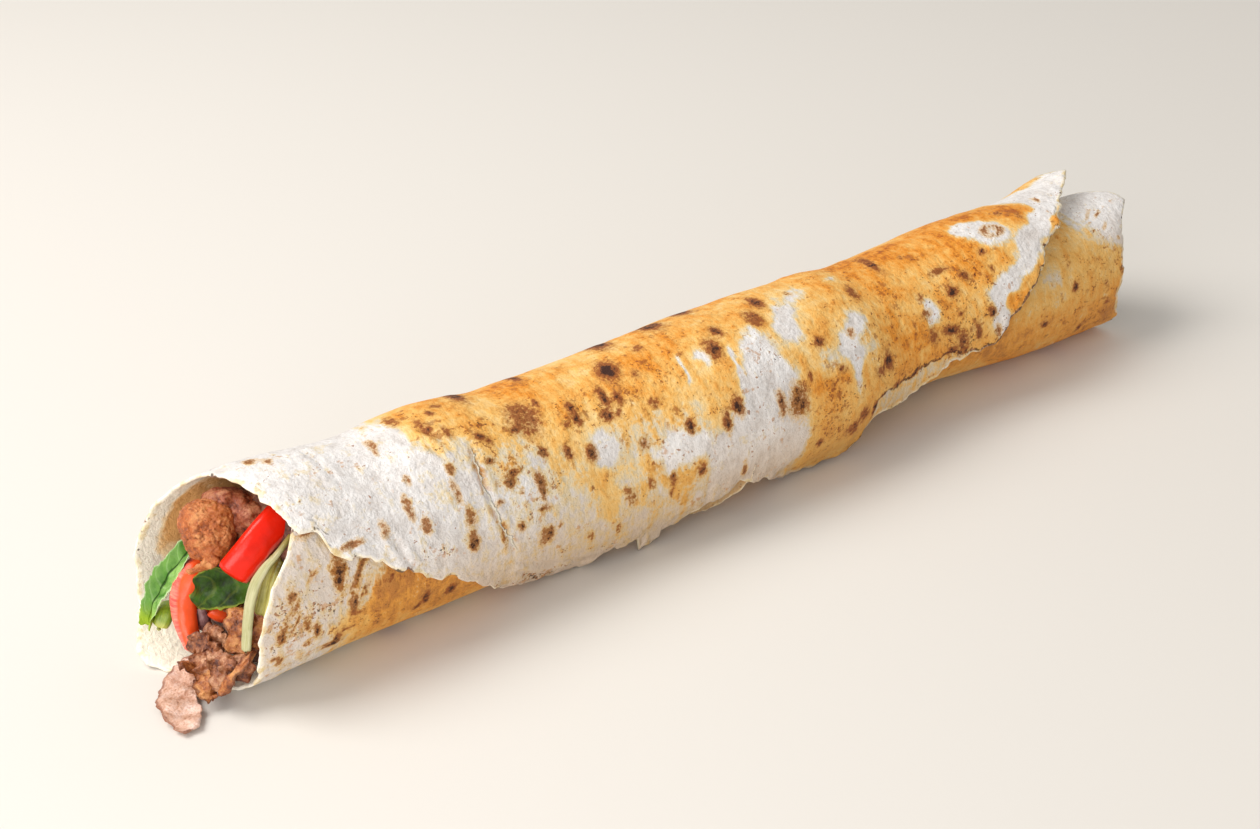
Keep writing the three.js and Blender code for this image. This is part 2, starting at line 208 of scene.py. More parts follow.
@dataclass
class Shape:
    """Points in millimetres with faces of four and three corners, flat places and named numbers."""

    points: Array
    quads: Array
    triangles: Array
    flat: Array
    marks: dict[str, Array]

    def joined(self, other: "Shape") -> "Shape":
        """This shape and another as one.

        Args:
            other: The other shape, with the same marks.

        Returns:
            The joined shape.
        """
        count = len(self.points)
        return Shape(
            np.concatenate([self.points, other.points]),
            np.concatenate([self.quads, other.quads + count]),
            np.concatenate([self.triangles, other.triangles + count]),
            np.concatenate([self.flat, other.flat]),
            {name: np.concatenate([mark, other.marks[name]]) for name, mark in self.marks.items()},
        )

    def facing_out(self) -> "Shape":
        """The shape with its faces turned outwards, as its signed volume tells.

        Returns:
            The shape itself.
        """
        corners = self.points[self.quads] - self.points.mean(axis=0)
        first = np.einsum("ij,ij->i", corners[:, 0], np.cross(corners[:, 1], corners[:, 2]))
        second = np.einsum("ij,ij->i", corners[:, 0], np.cross(corners[:, 2], corners[:, 3]))
        if first.sum() + second.sum() < 0.0:
            self.quads, self.triangles = self.quads[:, ::-1], self.triangles[:, ::-1]
        return self

    def make(self, name: str) -> bpy.types.Object:
        """Makes the Blender object, smooth shaded, at the origin, with a UV map and attributes.

        Args:
            name: The piece's name.

        Returns:
            The new object, in the part's frame and in metres.
        """
        mesh = bpy.data.meshes.new(name)
        faces = self.quads.tolist() + self.triangles.tolist()
        mesh.from_pydata(((self.points - MIDDLE) * METRE).tolist(), [], faces)
        mesh.polygons.foreach_set("use_smooth", np.ones(len(mesh.polygons), dtype=bool))
        corners = np.empty(len(mesh.loops), dtype=np.int32)
        mesh.loops.foreach_get("vertex_index", corners)
        layer = mesh.uv_layers.new(name="flat")
        layer.data.foreach_set("uv", self.flat[corners].ravel().astype(np.float32))
        for mark, values in self.marks.items():
            attribute = mesh.attributes.new(mark, "FLOAT", "POINT")
            attribute.data.foreach_set("value", values.astype(np.float32))
        mesh.update()
        piece = bpy.data.objects.new(name, mesh)
        bpy.context.scene.collection.objects.link(piece)
        return piece


def border(rows: int, columns: int) -> tuple[Array, Array]:
    """Row and column numbers of a grid's border, once round.

    Args:
        rows: How many rows the grid has.
        columns: How many columns it has.

    Returns:
        The row numbers and the column numbers.
    """
    down, across = np.arange(rows - 1), np.arange(columns - 1)
    row = np.concatenate([down, 0 * across + rows - 1, rows - 1 - down, 0 * across])
    column = np.concatenate([0 * down, across, 0 * down + columns - 1, columns - 1 - across])
    return row, column


def thin_solid(
    upper: Array, lower: Array, flat: Array, marks: Mapping[str, tuple[Array, Array]], push: float = 0.5
) -> Shape:
    """A closed thin solid between two grids of points, with a rounded border.

    The border gets a ring halfway between the grids, pushed outwards by a share of the thickness.

    Args:
        upper: Points of the outer face, rows by columns by three.
        lower: Points of the inner face, alike.
        flat: Flat place of each grid point, rows by columns by two.
        marks: Named numbers, one array for each face.
        push: How far the ring stands out, as a share of the thickness.

    Returns:
        The closed shape.
    """
    rows, columns = upper.shape[:2]
    count = rows * columns
    number = np.arange(count).reshape(rows, columns)
    corners = [number[:-1, :-1], number[1:, :-1], number[1:, 1:], number[:-1, 1:]]
    top = np.stack(corners, axis=-1).reshape(-1, 4)
    row, column = border(rows, columns)
    edge = number[row, column]
    middle = (upper[row, column] + lower[row, column]) / 2
    inner_row, inner_column = np.clip(row, 1, rows - 2), np.clip(column, 1, columns - 2)
    inside = (upper[inner_row, inner_column] + lower[inner_row, inner_column]) / 2
    thickness = np.linalg.norm(upper[row, column] - lower[row, column], axis=-1, keepdims=True)
    ring = middle + unit(middle - inside) * thickness * push
    at = 2 * count + np.arange(len(edge))
    after = np.roll(np.arange(len(edge)), -1)
    over = np.stack([edge, at, at[after], edge[after]], axis=-1)
    under = np.stack([at, edge + count, edge[after] + count, at[after]], axis=-1)
    flats = flat.reshape(-1, 2)
    points = np.concatenate([upper.reshape(-1, 3), lower.reshape(-1, 3), ring])
    quads = np.concatenate([top, top[:, ::-1] + count, over, under])
    kept = {
        name: np.concatenate([outer.ravel(), inner.ravel(), (outer[row, column] + inner[row, column]) / 2])
        for name, (outer, inner) in marks.items()
    }
    flats = np.concatenate([flats, flats, flat[row, column]])
    return Shape(points, quads, np.empty((0, 3), dtype=int), flats, kept).facing_out()


def closed_tube(rings: Array, ends: Array, flat: Array, marks: Mapping[str, Array]) -> Shape:
    """A closed tube through rings of points, drawn together to a point at both ends.

    Args:
        rings: Points, stations by sides by three.
        ends: The two end points.
        flat: Flat place of each ring point.
        marks: Named numbers for the ring points.

    Returns:
        The closed shape.
    """
    stations, sides = rings.shape[:2]
    number = 2 + np.arange(stations * sides).reshape(stations, sides)
    turned = np.roll(number, -1, axis=1)
    walls = np.stack([number[:-1], turned[:-1], turned[1:], number[1:]], axis=-1).reshape(-1, 4)
    first = np.stack([0 * number[0], turned[0], number[0]], axis=-1)
    last = np.stack([0 * number[0] + 1, number[-1], turned[-1]], axis=-1)
    ends_flat = np.stack([flat[0].mean(axis=0), flat[-1].mean(axis=0)])
    kept = {
        name: np.concatenate([[mark[0].mean(), mark[-1].mean()], mark.ravel()])
        for name, mark in marks.items()
    }
    points = np.concatenate([ends, rings.reshape(-1, 3)])
    flats = np.concatenate([ends_flat, flat.reshape(-1, 2)])
    return Shape(points, walls, np.concatenate([first, last]), flats, kept).facing_out()


@dataclass(frozen=True)
class Path:
    """A smooth path through points, read by its share of the length."""

    knots: tuple[Point, ...]

    def at(self, share: Array) -> Array:
        """Points on the path: each coordinate follows its knots by the length passed so far.

        Args:
            share: Shares of the length, from 0 to 1.

        Returns:
            One point a share.
        """
        table = np.array(self.knots)
        passed = np.concatenate([[0.0], np.cumsum(np.linalg.norm(np.diff(table, axis=0), axis=1))])
        passed = passed / passed[-1]
        return np.stack([follow(list(zip(passed, values)), share) for values in table.T], axis=-1)

    def along(self, share: Array) -> Array:
        """Directions along the path, from two near points on it."""
        step = 0.01
        return unit(self.at(np.minimum(share + step, 1.0)) - self.at(np.maximum(share - step, 0.0)))


@dataclass(frozen=True)
class Strip:
    """A strip of food carried along a path, so wide and so thick, with its width along `across`.

    Its middle surface is lifted by `bulge(u, v)`, its width is narrowed by `taper(u)`, and noise makes
    its faces and its outline uneven. The thickness falls towards both long edges as 1 - thinning w^4,
    where w runs from -1 to 1 across the strip.
    """

    path: tuple[Point, ...]
    across: Point
    width: float
    thickness: float
    grid: tuple[int, int] = (60, 24)
    bulge: Callable[[Array, Array], Array] = lambda u, v: 0.0 * u
    taper: Callable[[Array], Array] = lambda u: 1.0 + 0.0 * u
    rough: float = 0.12
    rough_size: float = 2.0
    ragged: float = 0.0
    ragged_size: float = 1.2
    thinning: float = 0.5
    seed: int = 1

    def shape(self) -> Shape:
        """Builds the strip as a thin closed solid; its flat place is (length passed, place across).

        Returns:
            The closed shape.
        """
        rows, columns = self.grid
        u, v = net(np.linspace(0, 1, rows + 1), np.linspace(0, 1, columns + 1))
        path = Path(self.path)
        along = path.along(u)
        wide = np.array(self.across, dtype=float)
        right = unit(wide - (along @ wide)[..., None] * along)
        up = np.cross(along, right)
        w = 2 * v - 1
        middle = path.at(u)
        sides = np.sign(w) * cloud(middle + right * np.sign(w)[..., None] * 9, self.ragged_size, self.seed)
        reach = w * self.width * self.taper(u) / 2 + self.ragged * sides * np.abs(w) ** 3
        ends = cloud(middle * 0 + right * reach[..., None], self.ragged_size, self.seed + 5)
        ends = self.ragged * ends * np.abs(2 * u - 1) ** 9
        middle = middle + right * reach[..., None] + along * ends[..., None]
        lift = self.bulge(u, v) + self.rough * cloud(middle, self.rough_size * 2.2, self.seed + 9)
        middle = middle + up * lift[..., None]
        half = self.thickness / 2 * (1 - self.thinning * np.abs(w) ** 4)
        over = (half + self.rough * 0.6 * cloud(middle, self.rough_size, self.seed + 3))[..., None]
        under = (half + self.rough * 0.6 * cloud(middle, self.rough_size, self.seed + 4))[..., None]
        rim = np.minimum(np.minimum(u, 1 - u) * self.length(), np.minimum(v, 1 - v) * self.width)
        flat = np.stack([u * self.length(), v * self.width], axis=-1) * METRE
        marks = {"share": (v, v), "rim": (rim, rim), "passed": (u, u), "cranny": (0 * u, 0 * u)}
        return thin_solid(middle + up * over, middle - up * under, flat, marks)

    def length(self) -> float:
        """Length of the path through its knots."""
        return float(np.linalg.norm(np.diff(np.array(self.path), axis=0), axis=1).sum())


# ---------------------------------------------------------------------------------------------
# Materials
# ---------------------------------------------------------------------------------------------


def tint(red: float, green: float, blue: float) -> Colour:
    """A colour in linear light, by the screen's standard curve.

    Args:
        red: Red on the screen, from 0 to 255.
        green: Green, alike.
        blue: Blue, alike.

    Returns:
        The three parts in linear light, from 0 to 1.
    """
    parts = np.array([red, green, blue]) / 255.0
    linear = np.where(parts <= 0.04045, parts / 12.92, ((parts + 0.055) / 1.055) ** 2.4)
    return tuple(float(part) for part in linear)


class Value:
    """A number that varies over a surface: one shader socket with the usual operators."""

    def __init__(self, graph: "Graph", socket: bpy.types.NodeSocket) -> None:
        """Keeps the graph and the socket that carries the number."""
        self.graph = graph
        self.socket = socket

    def _sum(self, operation: str, first: "Value | float", second: "Value | float") -> "Value":
        """Adds one Math node on two numbers."""
        node = self.graph.node("ShaderNodeMath", {"operation": operation}, {0: first, 1: second})
        return Value(self.graph, node.outputs[0])

    def __add__(self, other: "Value | float") -> "Value":
        """self + other."""
        return self._sum("ADD", self, other)

    def __radd__(self, other: float) -> "Value":
        """other + self."""
        return self._sum("ADD", other, self)

    def __sub__(self, other: "Value | float") -> "Value":
        """self - other."""
        return self._sum("SUBTRACT", self, other)

    def __rsub__(self, other: float) -> "Value":
        """other - self."""
        return self._sum("SUBTRACT", other, self)

    def __mul__(self, other: "Value | float") -> "Value":
        """self * other."""
        return self._sum("MULTIPLY", self, other)

    def __rmul__(self, other: float) -> "Value":
        """other * self."""
        return self._sum("MULTIPLY", other, self)

    def above(self, low: float, high: float) -> "Value":
        """Rises smoothly from 0 at low to 1 at high.

        Args:
            low: Where it leaves 0.
            high: Where it reaches 1.

        Returns:
            The risen number.
        """
        sockets = {"Value": self, "From Min": low, "From Max": high}
        node = self.graph.node("ShaderNodeMapRange", {"interpolation_type": "SMOOTHSTEP"}, sockets)
        return Value(self.graph, node.outputs["Result"])

    def largest(self, other: "Value | float") -> "Value":
        """The larger of the two numbers."""
        return self._sum("MAXIMUM", self, other)

    def wave(self) -> "Value":
        """The sine of the number."""
        return self._sum("SINE", self, 0.0)

    def size(self) -> "Value":
        """The number without its sign."""
        return self._sum("ABSOLUTE", self, 0.0)


class Graph:
    """The node graph of one material."""

    def __init__(self, name: str) -> None:
        """Starts an empty graph on a new material.

        Args:
            name: The material's name.
        """
        self.material = bpy.data.materials.new(name)
        self.material.use_nodes = True
        self.tree = self.material.node_tree
        self.tree.nodes.clear()

    def node(
        self, kind: str, settings: Mapping | None = None, sockets: Mapping | None = None
    ) -> bpy.types.Node:
        """Adds one node.

        Args:
            kind: The node's type.
            settings: Its settings, set first; "stops" gives a ramp's places and colours.
            sockets: Values or links by socket name or number.

        Returns:
            The new node.
        """
        node = self.tree.nodes.new(kind)
        for name, setting in (settings or {}).items():
            if name == "stops":
                self._stops(node.color_ramp, setting)
            else:
                setattr(node, name, setting)
        for name, value in (sockets or {}).items():
            value = value.socket if isinstance(value, Value) else value
            if isinstance(value, bpy.types.NodeSocket):
                self.tree.links.new(value, node.inputs[name])
            elif isinstance(value, tuple) and node.inputs[name].type == "RGBA":
                node.inputs[name].default_value = (*value, 1.0)
            else:
                node.inputs[name].default_value = value
        return node

    @staticmethod
    def _stops(ramp: bpy.types.ColorRamp, stops: Sequence[tuple[float, Colour]]) -> None:
        """Gives a ramp its stops.

        Args:
            ramp: The ramp, with two stops or more.
            stops: Each stop's place and colour.
        """
        while len(ramp.elements) < len(stops):
            ramp.elements.new(0.5)
        for element, (place, colour) in zip(ramp.elements, stops):
            element.position = place
            element.color = (*colour, 1.0)

    def place(self) -> bpy.types.NodeSocket:
        """The Object coordinates, in metres."""
        return self.node("ShaderNodeTexCoord").outputs["Object"]

    def flat(self, along: float, across: float) -> bpy.types.NodeSocket:
        """The piece's flat places, stretched by two scales.

        Args:
            along: The scale along the piece.
            across: The scale across it.

        Returns:
            The stretched places.
        """
        source = self.node("ShaderNodeUVMap", {"uv_map": "flat"}).outputs["UV"]
        sockets = {"Vector": source, "Scale": (along, across, 1.0)}
        return self.node("ShaderNodeMapping", {}, sockets).outputs[0]

    def mark(self, name: str) -> Value:
        """A named number of the mesh."""
        return Value(self, self.node("ShaderNodeAttribute", {"attribute_name": name}).outputs["Fac"])

    def part(self, vector: bpy.types.NodeSocket, axis: str) -> Value:
        """One coordinate of a vector."""
        return Value(self, self.node("ShaderNodeSeparateXYZ", {}, {0: vector}).outputs[axis])

    def rough(
        self, scale: float, detail: float = 4.0, rough: float = 0.58,
        at: bpy.types.NodeSocket | None = None, twist: float = 0.0,
    ) -> Value:
        """Noise between about -1 and 1, stretched because the node's own stays near 0.5.

        Args:
            scale: About how many features it has a metre.
            detail: How many finer layers it has.
            rough: How strong the finer layers are.
            at: Its places, or nothing for the Object coordinates.
            twist: How far it is swirled.

        Returns:
            The noise.
        """
        sockets = {"Scale": scale, "Detail": detail, "Roughness": rough, "Distortion": twist}
        sockets["Vector"] = at if at is not None else self.place()
        noise = Value(self, self.node("ShaderNodeTexNoise", {}, sockets).outputs["Fac"])
        return (noise - 0.5) * 5.0

    def cells(self, scale: float) -> Value:
        """Distance to the nearest of scattered points, with about `scale` of them a metre."""
        sockets = {"Scale": scale, "Vector": self.place()}
        return Value(self, self.node("ShaderNodeTexVoronoi", {}, sockets).outputs["Distance"])

    def blend(self, share: Value | float, under: object, over: object) -> bpy.types.NodeSocket:
        """Mixes two colours: `under` where the share is 0, `over` where it is 1."""
        settings = {"data_type": "RGBA", "clamp_factor": True}
        return self.node("ShaderNodeMix", settings, {0: share, 6: under, 7: over}).outputs[2]

    def ramp(self, value: Value, *stops: tuple[float, Colour]) -> bpy.types.NodeSocket:
        """A colour that runs through the stops as the value rises."""
        return self.node("ShaderNodeValToRGB", {"stops": stops}, {0: value}).outputs["Color"]

    def finish(
        self, colour: object, roughness: Value | float, height: Value | None = None, **constants: float
    ) -> bpy.types.Material:
        """Ends the graph in one Principled shader.

        Args:
            colour: Base colour, a socket or a constant.
            roughness: Roughness, a value or a constant.
            height: Relief in millimetres, or nothing.
            constants: Other shader sockets, with underscores for spaces.

        Returns:
            The finished material.
        """
        sockets: dict[str, object] = {"Base Color": colour, "Roughness": roughness}
        if height is not None:
            bump = self.node("ShaderNodeBump", {}, {"Strength": 1.0, "Distance": METRE, "Height": height})
            sockets["Normal"] = bump.outputs["Normal"]
        sockets |= {name.replace("_", " "): value for name, value in constants.items()}
        shader = self.node("ShaderNodeBsdfPrincipled", {}, sockets)
        self.node("ShaderNodeOutputMaterial", {}, {"Surface": shader.outputs["BSDF"]})
        return self.material


@dataclass(frozen=True)
class Grains:
    """Noises over the bread, from broad to tiny, and streaks along it."""

    broad: Value
    middle: Value
    fine: Value
    tiny: Value
    streak: Value


@dataclass(frozen=True)
class BreadFinish:
    """Baked flatbread: floury white, clouds of toasted gold, scorched spots and crisp rims.

    The mesh carries the marks `gold` (above 0 where it is toasted), `deep` (1 where the gold is
    darkest, partly painted shade), `low` (1 where it faces the ground, where shade is painted),
    `scorch` (1 at a burnt spot's middle), `soot` (1 where fine dark specks gather), `rim` (millimetres
    to the nearest free edge), `juice` (stained by the filling), `inner` (above 0 on the inner face) and
    `char` (1 on the burnt line inside the free edge).
    Noise breaks up the borders of them all.
    """

    flour: Colour = tint(243, 240, 238)
    dough: Colour = tint(214, 206, 200)
    under: Colour = tint(190, 154, 108)
    painted_shade_khaki: Colour = tint(204, 158, 84)
    shade: Colour = tint(186, 174, 166)
    blush: Colour = tint(224, 200, 146)
    pale: Colour = tint(244, 208, 142)
    golden: Colour = tint(240, 184, 98)
    orange: Colour = tint(230, 146, 42)
    deep: Colour = tint(176, 90, 14)
    tan: Colour = tint(190, 130, 62)
    ring: Colour = tint(216, 170, 90)
    brown: Colour = tint(150, 86, 24)
    halo: Colour = tint(142, 72, 26)
    burnt: Colour = tint(50, 22, 14)
    cream: Colour = tint(252, 244, 224)
    olive: Colour = tint(252, 218, 160)
    soaked: Colour = tint(212, 144, 56)
    fold_x: float = -0.1002
    fold_bend: float = 10.2
    fold_y: float = 0.0733

    def material(self) -> bpy.types.Material:
        """Builds the material.

        Returns:
            The material.
        """
        g = Graph("flatbread")
        n = Grains(
            g.rough(55.0, 4.0), g.rough(230.0, 5.0), g.rough(820.0, 4.0), g.rough(2300.0, 2.0),
            g.rough(1.0, 4.0, 0.6, g.flat(430.0, 90.0)))
        edge = g.mark("gold") + n.broad * 0.34 + n.middle * 0.62 + n.streak * 0.5 + n.fine * 0.3
        toast = edge.above(-0.42, 0.42)
        colour = g.blend(toast, self._floury(g, n, edge), self._golden(g, n))
        colour = self._specks(g, n, colour, toast)
        colour = self._burnt(g, n, colour, toast)
        fold, beside = self._fold(g, n)
        colour = g.blend(beside * 0.5, colour, self.tan)
        colour = g.blend(fold * 0.8, colour, self.cream)
        colour = self._rim(g, n, self._stained(g, n, colour))
        lumps = g.rough(360.0, 2.0, 0.5)
        crack = (1.0 - g.rough(150.0, 4.0).size() * 5.0).above(0.0, 1.0)
        height = n.broad * 0.3 + lumps * 0.09 + n.middle * 0.1 + n.fine * 0.06 + n.tiny * 0.02
        height = height + n.streak * 0.05 - crack * 0.05 + fold * 0.5
        roughness = 0.84 - toast * 0.2 + n.fine * 0.04
        return g.finish(colour, roughness, height, Specular_IOR_Level=0.35)

    def _golden(self, g: Graph, n: Grains) -> bpy.types.NodeSocket:
        """The toasted colour: pale near its border, orange deep inside, mottled brown, and painted shade in
        khaki where it faces the ground.

        Args:
            g: The graph.
            n: Its noises.

        Returns:
            The colour.
        """
        warm = g.mark("gold") * 0.18 + n.broad * 0.28 + n.middle * 0.2 + n.streak * 0.16 + n.fine * 0.1
        # The `deep` mark darkens the gold: painted shade under the flap, and darker toast on the ridge and
        # tail.
        warm = warm + 0.12 + g.mark("deep") * 0.55
        stops = ((0.02, self.pale), (0.38, self.golden), (0.74, self.orange), (1.05, self.deep))
        # Painted shade: the gold turns khaki where the sheet faces the ground.
        colour = g.blend(g.mark("low") * 0.7, g.ramp(warm, *stops), self.painted_shade_khaki)
        mottle = (n.middle * 0.6 + g.rough(110.0, 3.0) * 0.7 + n.fine * 0.5).above(0.3, 1.5)
        return g.blend(mottle * 0.6, colour, self.tan)

    def _floury(self, g: Graph, n: Grains, edge: Value) -> bpy.types.NodeSocket:
        """The floury colour: white, with painted grey shade in its wrinkles, tan blotches, a yellow border,
        and painted shade in a warm tan where it faces the ground.

        Args:
            g: The graph.
            n: Its noises.
            edge: How toasted the bread is, above 0 where it is gold.

        Returns:
            The colour.
        """
        white = n.middle * 0.4 + n.fine * 0.22 + n.broad * 0.4 + 0.6
        # Painted shade: the wrinkles are greyed towards the shade colour.
        wrinkle = (1.0 - g.rough(95.0, 3.0).size() * 9.0).above(0.0, 1.0)
        colour = g.blend(wrinkle * 0.28 + n.tiny * 0.1, g.blend(white, self.dough, self.flour), self.shade)
        colour = g.blend(edge.above(-1.1, -0.25) * 0.7, colour, self.blush)
        blotch = (g.rough(118.0, 4.0) + n.fine * 0.4).above(0.5, 1.3)
        colour = g.blend(blotch * 0.6, colour, self.blush)
        # Painted shade: a warm tan where the sheet faces the ground.
        return g.blend(g.mark("low") * 0.6, colour, self.under)

    def _specks(
        self, g: Graph, n: Grains, under: bpy.types.NodeSocket, toast: Value
    ) -> bpy.types.NodeSocket:
        """Scattered small marks: soft tan ones, brown ones, and a few fine dark dots.

        Args:
            g: The graph.
            n: Its noises.
            under: The colour so far.
            toast: 1 where the bread is gold, 0 where it is floury.

        Returns:
            The colour with the marks.
        """
        soot = g.mark("soot")
        soft = (g.rough(300.0, 3.0) + n.fine * 0.35 + n.broad * 0.25 + soot * 0.55).above(0.65, 1.25)
        colour = g.blend(soft * 0.6, under, g.blend(toast, self.tan, self.halo))
        dots = (g.rough(700.0, 2.0) * 0.9 + n.middle * 0.5 + n.broad * 0.2 + soot * 0.6).above(0.95, 1.2)
        colour = g.blend(dots * 0.75, colour, g.blend(toast, self.brown, self.halo))
        dark = (g.rough(1150.0, 2.0) * 0.9 + n.middle * 0.5 + soot * 0.8).above(1.3, 1.5)
        return g.blend(dark * 0.85, colour, self.burnt)

    def _burnt(
        self, g: Graph, n: Grains, under: bpy.types.NodeSocket, toast: Value
    ) -> bpy.types.NodeSocket:
        """Burnt spots: a soft tan ring, a brown halo and a dark middle, all broken up.

        Args:
            g: The graph.
            n: Its noises.
            under: The colour so far.
            toast: 1 where the bread is gold, 0 where it is floury.

        Returns:
            The colour with the spots.
        """
        burn = g.mark("scorch") + n.middle * 0.26 + n.fine * 0.34 + n.tiny * 0.14
        colour = g.blend(burn.above(-0.6, 0.2) * 0.6, under, g.blend(toast, self.ring, self.tan))
        colour = g.blend(burn.above(0.06, 0.5) * 0.85, colour, g.blend(toast, self.brown, self.halo))
        return g.blend(burn.above(0.55, 1.05) * 0.95, colour, self.burnt)

    def _fold(self, g: Graph, n: Grains) -> tuple[Value, Value]:
        """The sharp fold across the flap: a line x = a + b (y - c)^2, and the toasted beads beside it.

        Args:
            g: The graph.
            n: Its noises.

        Returns:
            How much fold and how many beads there are at each place.
        """
        flat = g.flat(1.0, 1.0)
        along, around = g.part(flat, "X"), g.part(flat, "Y")
        off = around - self.fold_y
        away = along - self.fold_x - off * off * self.fold_bend + n.middle * 0.0009 + n.fine * 0.0003
        away = away.size()
        reach = (around - 0.062).above(0.0, 0.004) * (0.1 - around).above(0.0, 0.006)
        beads = (g.rough(190.0, 2.0) + n.fine * 0.3).above(-0.1, 0.4)
        fold = (0.0006 - away).above(0.0, 0.0005) * reach
        return fold, (0.0022 - away).above(0.0, 0.0012) * reach * beads

    def _stained(self, g: Graph, n: Grains, under: bpy.types.NodeSocket) -> bpy.types.NodeSocket:
        """Juice of the filling on the inner face: olive, and brown where it soaked in.

        Args:
            g: The graph.
            n: Its noises.
            under: The colour so far.

        Returns:
            The colour with the juice.
        """
        juice = g.mark("juice") + n.broad * 0.3 + n.middle * 0.35 + n.fine * 0.15
        colour = g.blend(g.mark("inner") * 0.88, under, self.cream)
        colour = g.blend(juice.above(0.0, 0.9) * 0.8, colour, self.olive)
        return g.blend(juice.above(0.8, 1.7) * 0.75, colour, self.soaked)

    def _rim(self, g: Graph, n: Grains, under: bpy.types.NodeSocket) -> bpy.types.NodeSocket:
        """The torn rim: cream crumb in places, a few dark dashes, and the burnt line inside the edge.

        Args:
            g: The graph.
            n: Its noises.
            under: The colour so far.

        Returns:
            The colour with the rim.
        """
        rim = g.mark("rim")
        crust = (1.1 - rim + n.middle * 0.9 + n.broad * 0.4).above(0.0, 1.0)
        colour = g.blend(crust * 0.75, under, g.blend(n.middle.above(-0.3, 0.7), self.cream, self.blush))
        dashes = (g.rough(170.0, 2.0) + n.fine * 0.4 - rim * 0.3).above(0.5, 0.8)
        dashes = dashes * (1.6 - rim).above(0.0, 0.8)
        line = (g.mark("char") + n.middle * 0.5 + n.fine * 0.5).above(0.5, 1.0)
        charred = g.blend(n.fine.above(-0.4, 0.4), self.halo, self.burnt)
        return g.blend(dashes.largest(line) * 0.85, colour, charred)


@dataclass(frozen=True)
class MeatFinish:
    """Roast meat: a ramp from dark crisp edges to pale flesh over noise, a little greasy."""

    name: str
    dark: Colour
    middle: Colour
    pale: Colour
    crust: Colour
    crust_reach: float = 1.2
    crust_part: float = 9.0
    gloss: float = 0.42
    bumps: float = 0.5

    def material(self) -> bpy.types.Material:
        """Builds the material; the mark `cranny` is 1 in the bottom of the mesh's own pits, where shade is
        painted.

        Returns:
            The material.
        """
        g = Graph(self.name)
        broad, fibres = g.rough(170.0, 4.0), g.rough(480.0, 5.0, 0.65, twist=0.6)
        fine = g.rough(1500.0, 3.0, 0.6)
        tone = broad * 0.42 + fibres * 0.32 + fine * 0.16 + 0.5
        colour = g.ramp(tone, (0.05, self.dark), (0.45, self.middle), (0.95, self.pale))
        rim = (self.crust_reach - g.mark("rim") + fibres * 0.7).above(0.0, 0.8)
        rim = rim * (self.crust_part - g.mark("share") + broad * 0.1).above(0.0, 0.1)
        colour = g.blend(rim * 0.8, colour, self.crust)
        # Painted shade: the pits and the crannies are darkened towards the dark colour.
        pits = (g.cells(620.0) + fine * 0.12).above(0.0, 0.35)
        colour = g.blend((1.0 - pits) * 0.35, colour, self.dark)
        colour = g.blend(g.mark("cranny") * 0.8, colour, self.dark)
        height = fibres * 0.2 * self.bumps + fine * 0.04 + pits * 0.25 * self.bumps + broad * 0.1
        return g.finish(colour, self.gloss + fibres * 0.08, height, Specular_IOR_Level=0.5)


@dataclass(frozen=True)
class PepperFinish:
    """Raw sweet pepper: glossy skin on one part of its width, paler wet flesh on the other."""

    name: str
    skin: Colour
    flesh: Colour
    pale: Colour
    split: float
    soft: float = 0.12
    depth: float = 0.9
    lines: tuple[float, float] = (160.0, 1500.0)

    def material(self) -> bpy.types.Material:
        """Builds the material.

        Returns:
            The material.
        """
        g = Graph(self.name)
        broad, fine = g.rough(170.0, 3.0, 0.5), g.rough(1300.0, 2.0, 0.5)
        lines = g.rough(1.0, 3.0, 0.6, g.flat(*self.lines))
        cut = (self.split - g.mark("share") + broad * 0.04).above(0.0, self.soft)
        skin = g.blend(broad * 0.5 + 0.25, self.skin, tuple(part * 0.7 for part in self.skin))
        flesh = g.blend(lines * 0.6 + 0.45, self.flesh, self.pale)
        colour = g.blend(cut * self.depth, skin, flesh)
        height = cut * (lines * 0.09 + fine * 0.03) + broad * 0.06
        return g.finish(colour, 0.24 + cut * 0.2, height, Specular_IOR_Level=0.32)


@dataclass(frozen=True)
class LeafFinish:
    """A fresh leaf: its blade, a paler rim, veins that branch from the middle, a tinted foot, and
    painted shade in its crease and on one half of its fold.
    """

    name: str
    blade: Colour
    deep: Colour
    rim: Colour
    foot: Colour
    crease: float = 0.0
    veins: float = 620.0

    def material(self) -> bpy.types.Material:
        """Builds the material.

        Returns:
            The material.
        """
        g = Graph(self.name)
        share, passed = g.mark("share"), g.mark("passed")
        broad, fine = g.rough(170.0, 4.0), g.rough(1000.0, 3.0)
        off = share - 0.5
        angle = passed * self.veins * 0.06 + off * off * 28.0 + broad * 0.8
        vein = angle.wave().above(0.75, 1.0)
        colour = g.blend(broad * 0.8 + fine * 0.15 + 0.4, self.blade, self.deep)
        # Painted shade: one half of the fold is darkened towards the deep green.
        colour = g.blend((0.02 - off).above(0.0, 0.06) * self.crease * 0.6, colour, self.deep)
        colour = g.blend(vein * 0.12, colour, self.rim)
        # Painted shade: a dark line along the crease.
        crease = (0.05 - off.size() + broad * 0.01).above(0.0, 0.04) * self.crease
        colour = g.blend(crease * 0.85, colour, tuple(part * 0.25 for part in self.deep))
        edge = (0.7 - g.mark("rim") + broad * 0.5).above(0.0, 0.8)
        colour = g.blend(edge * 0.7, colour, self.rim)
        colour = g.blend((passed + broad * 0.06).above(0.74, 0.98), colour, self.foot)
        height = vein * -0.05 + broad * 0.12 + fine * 0.03 - crease * 0.3
        return g.finish(colour, 0.42 + fine * 0.04, height, Specular_IOR_Level=0.2)


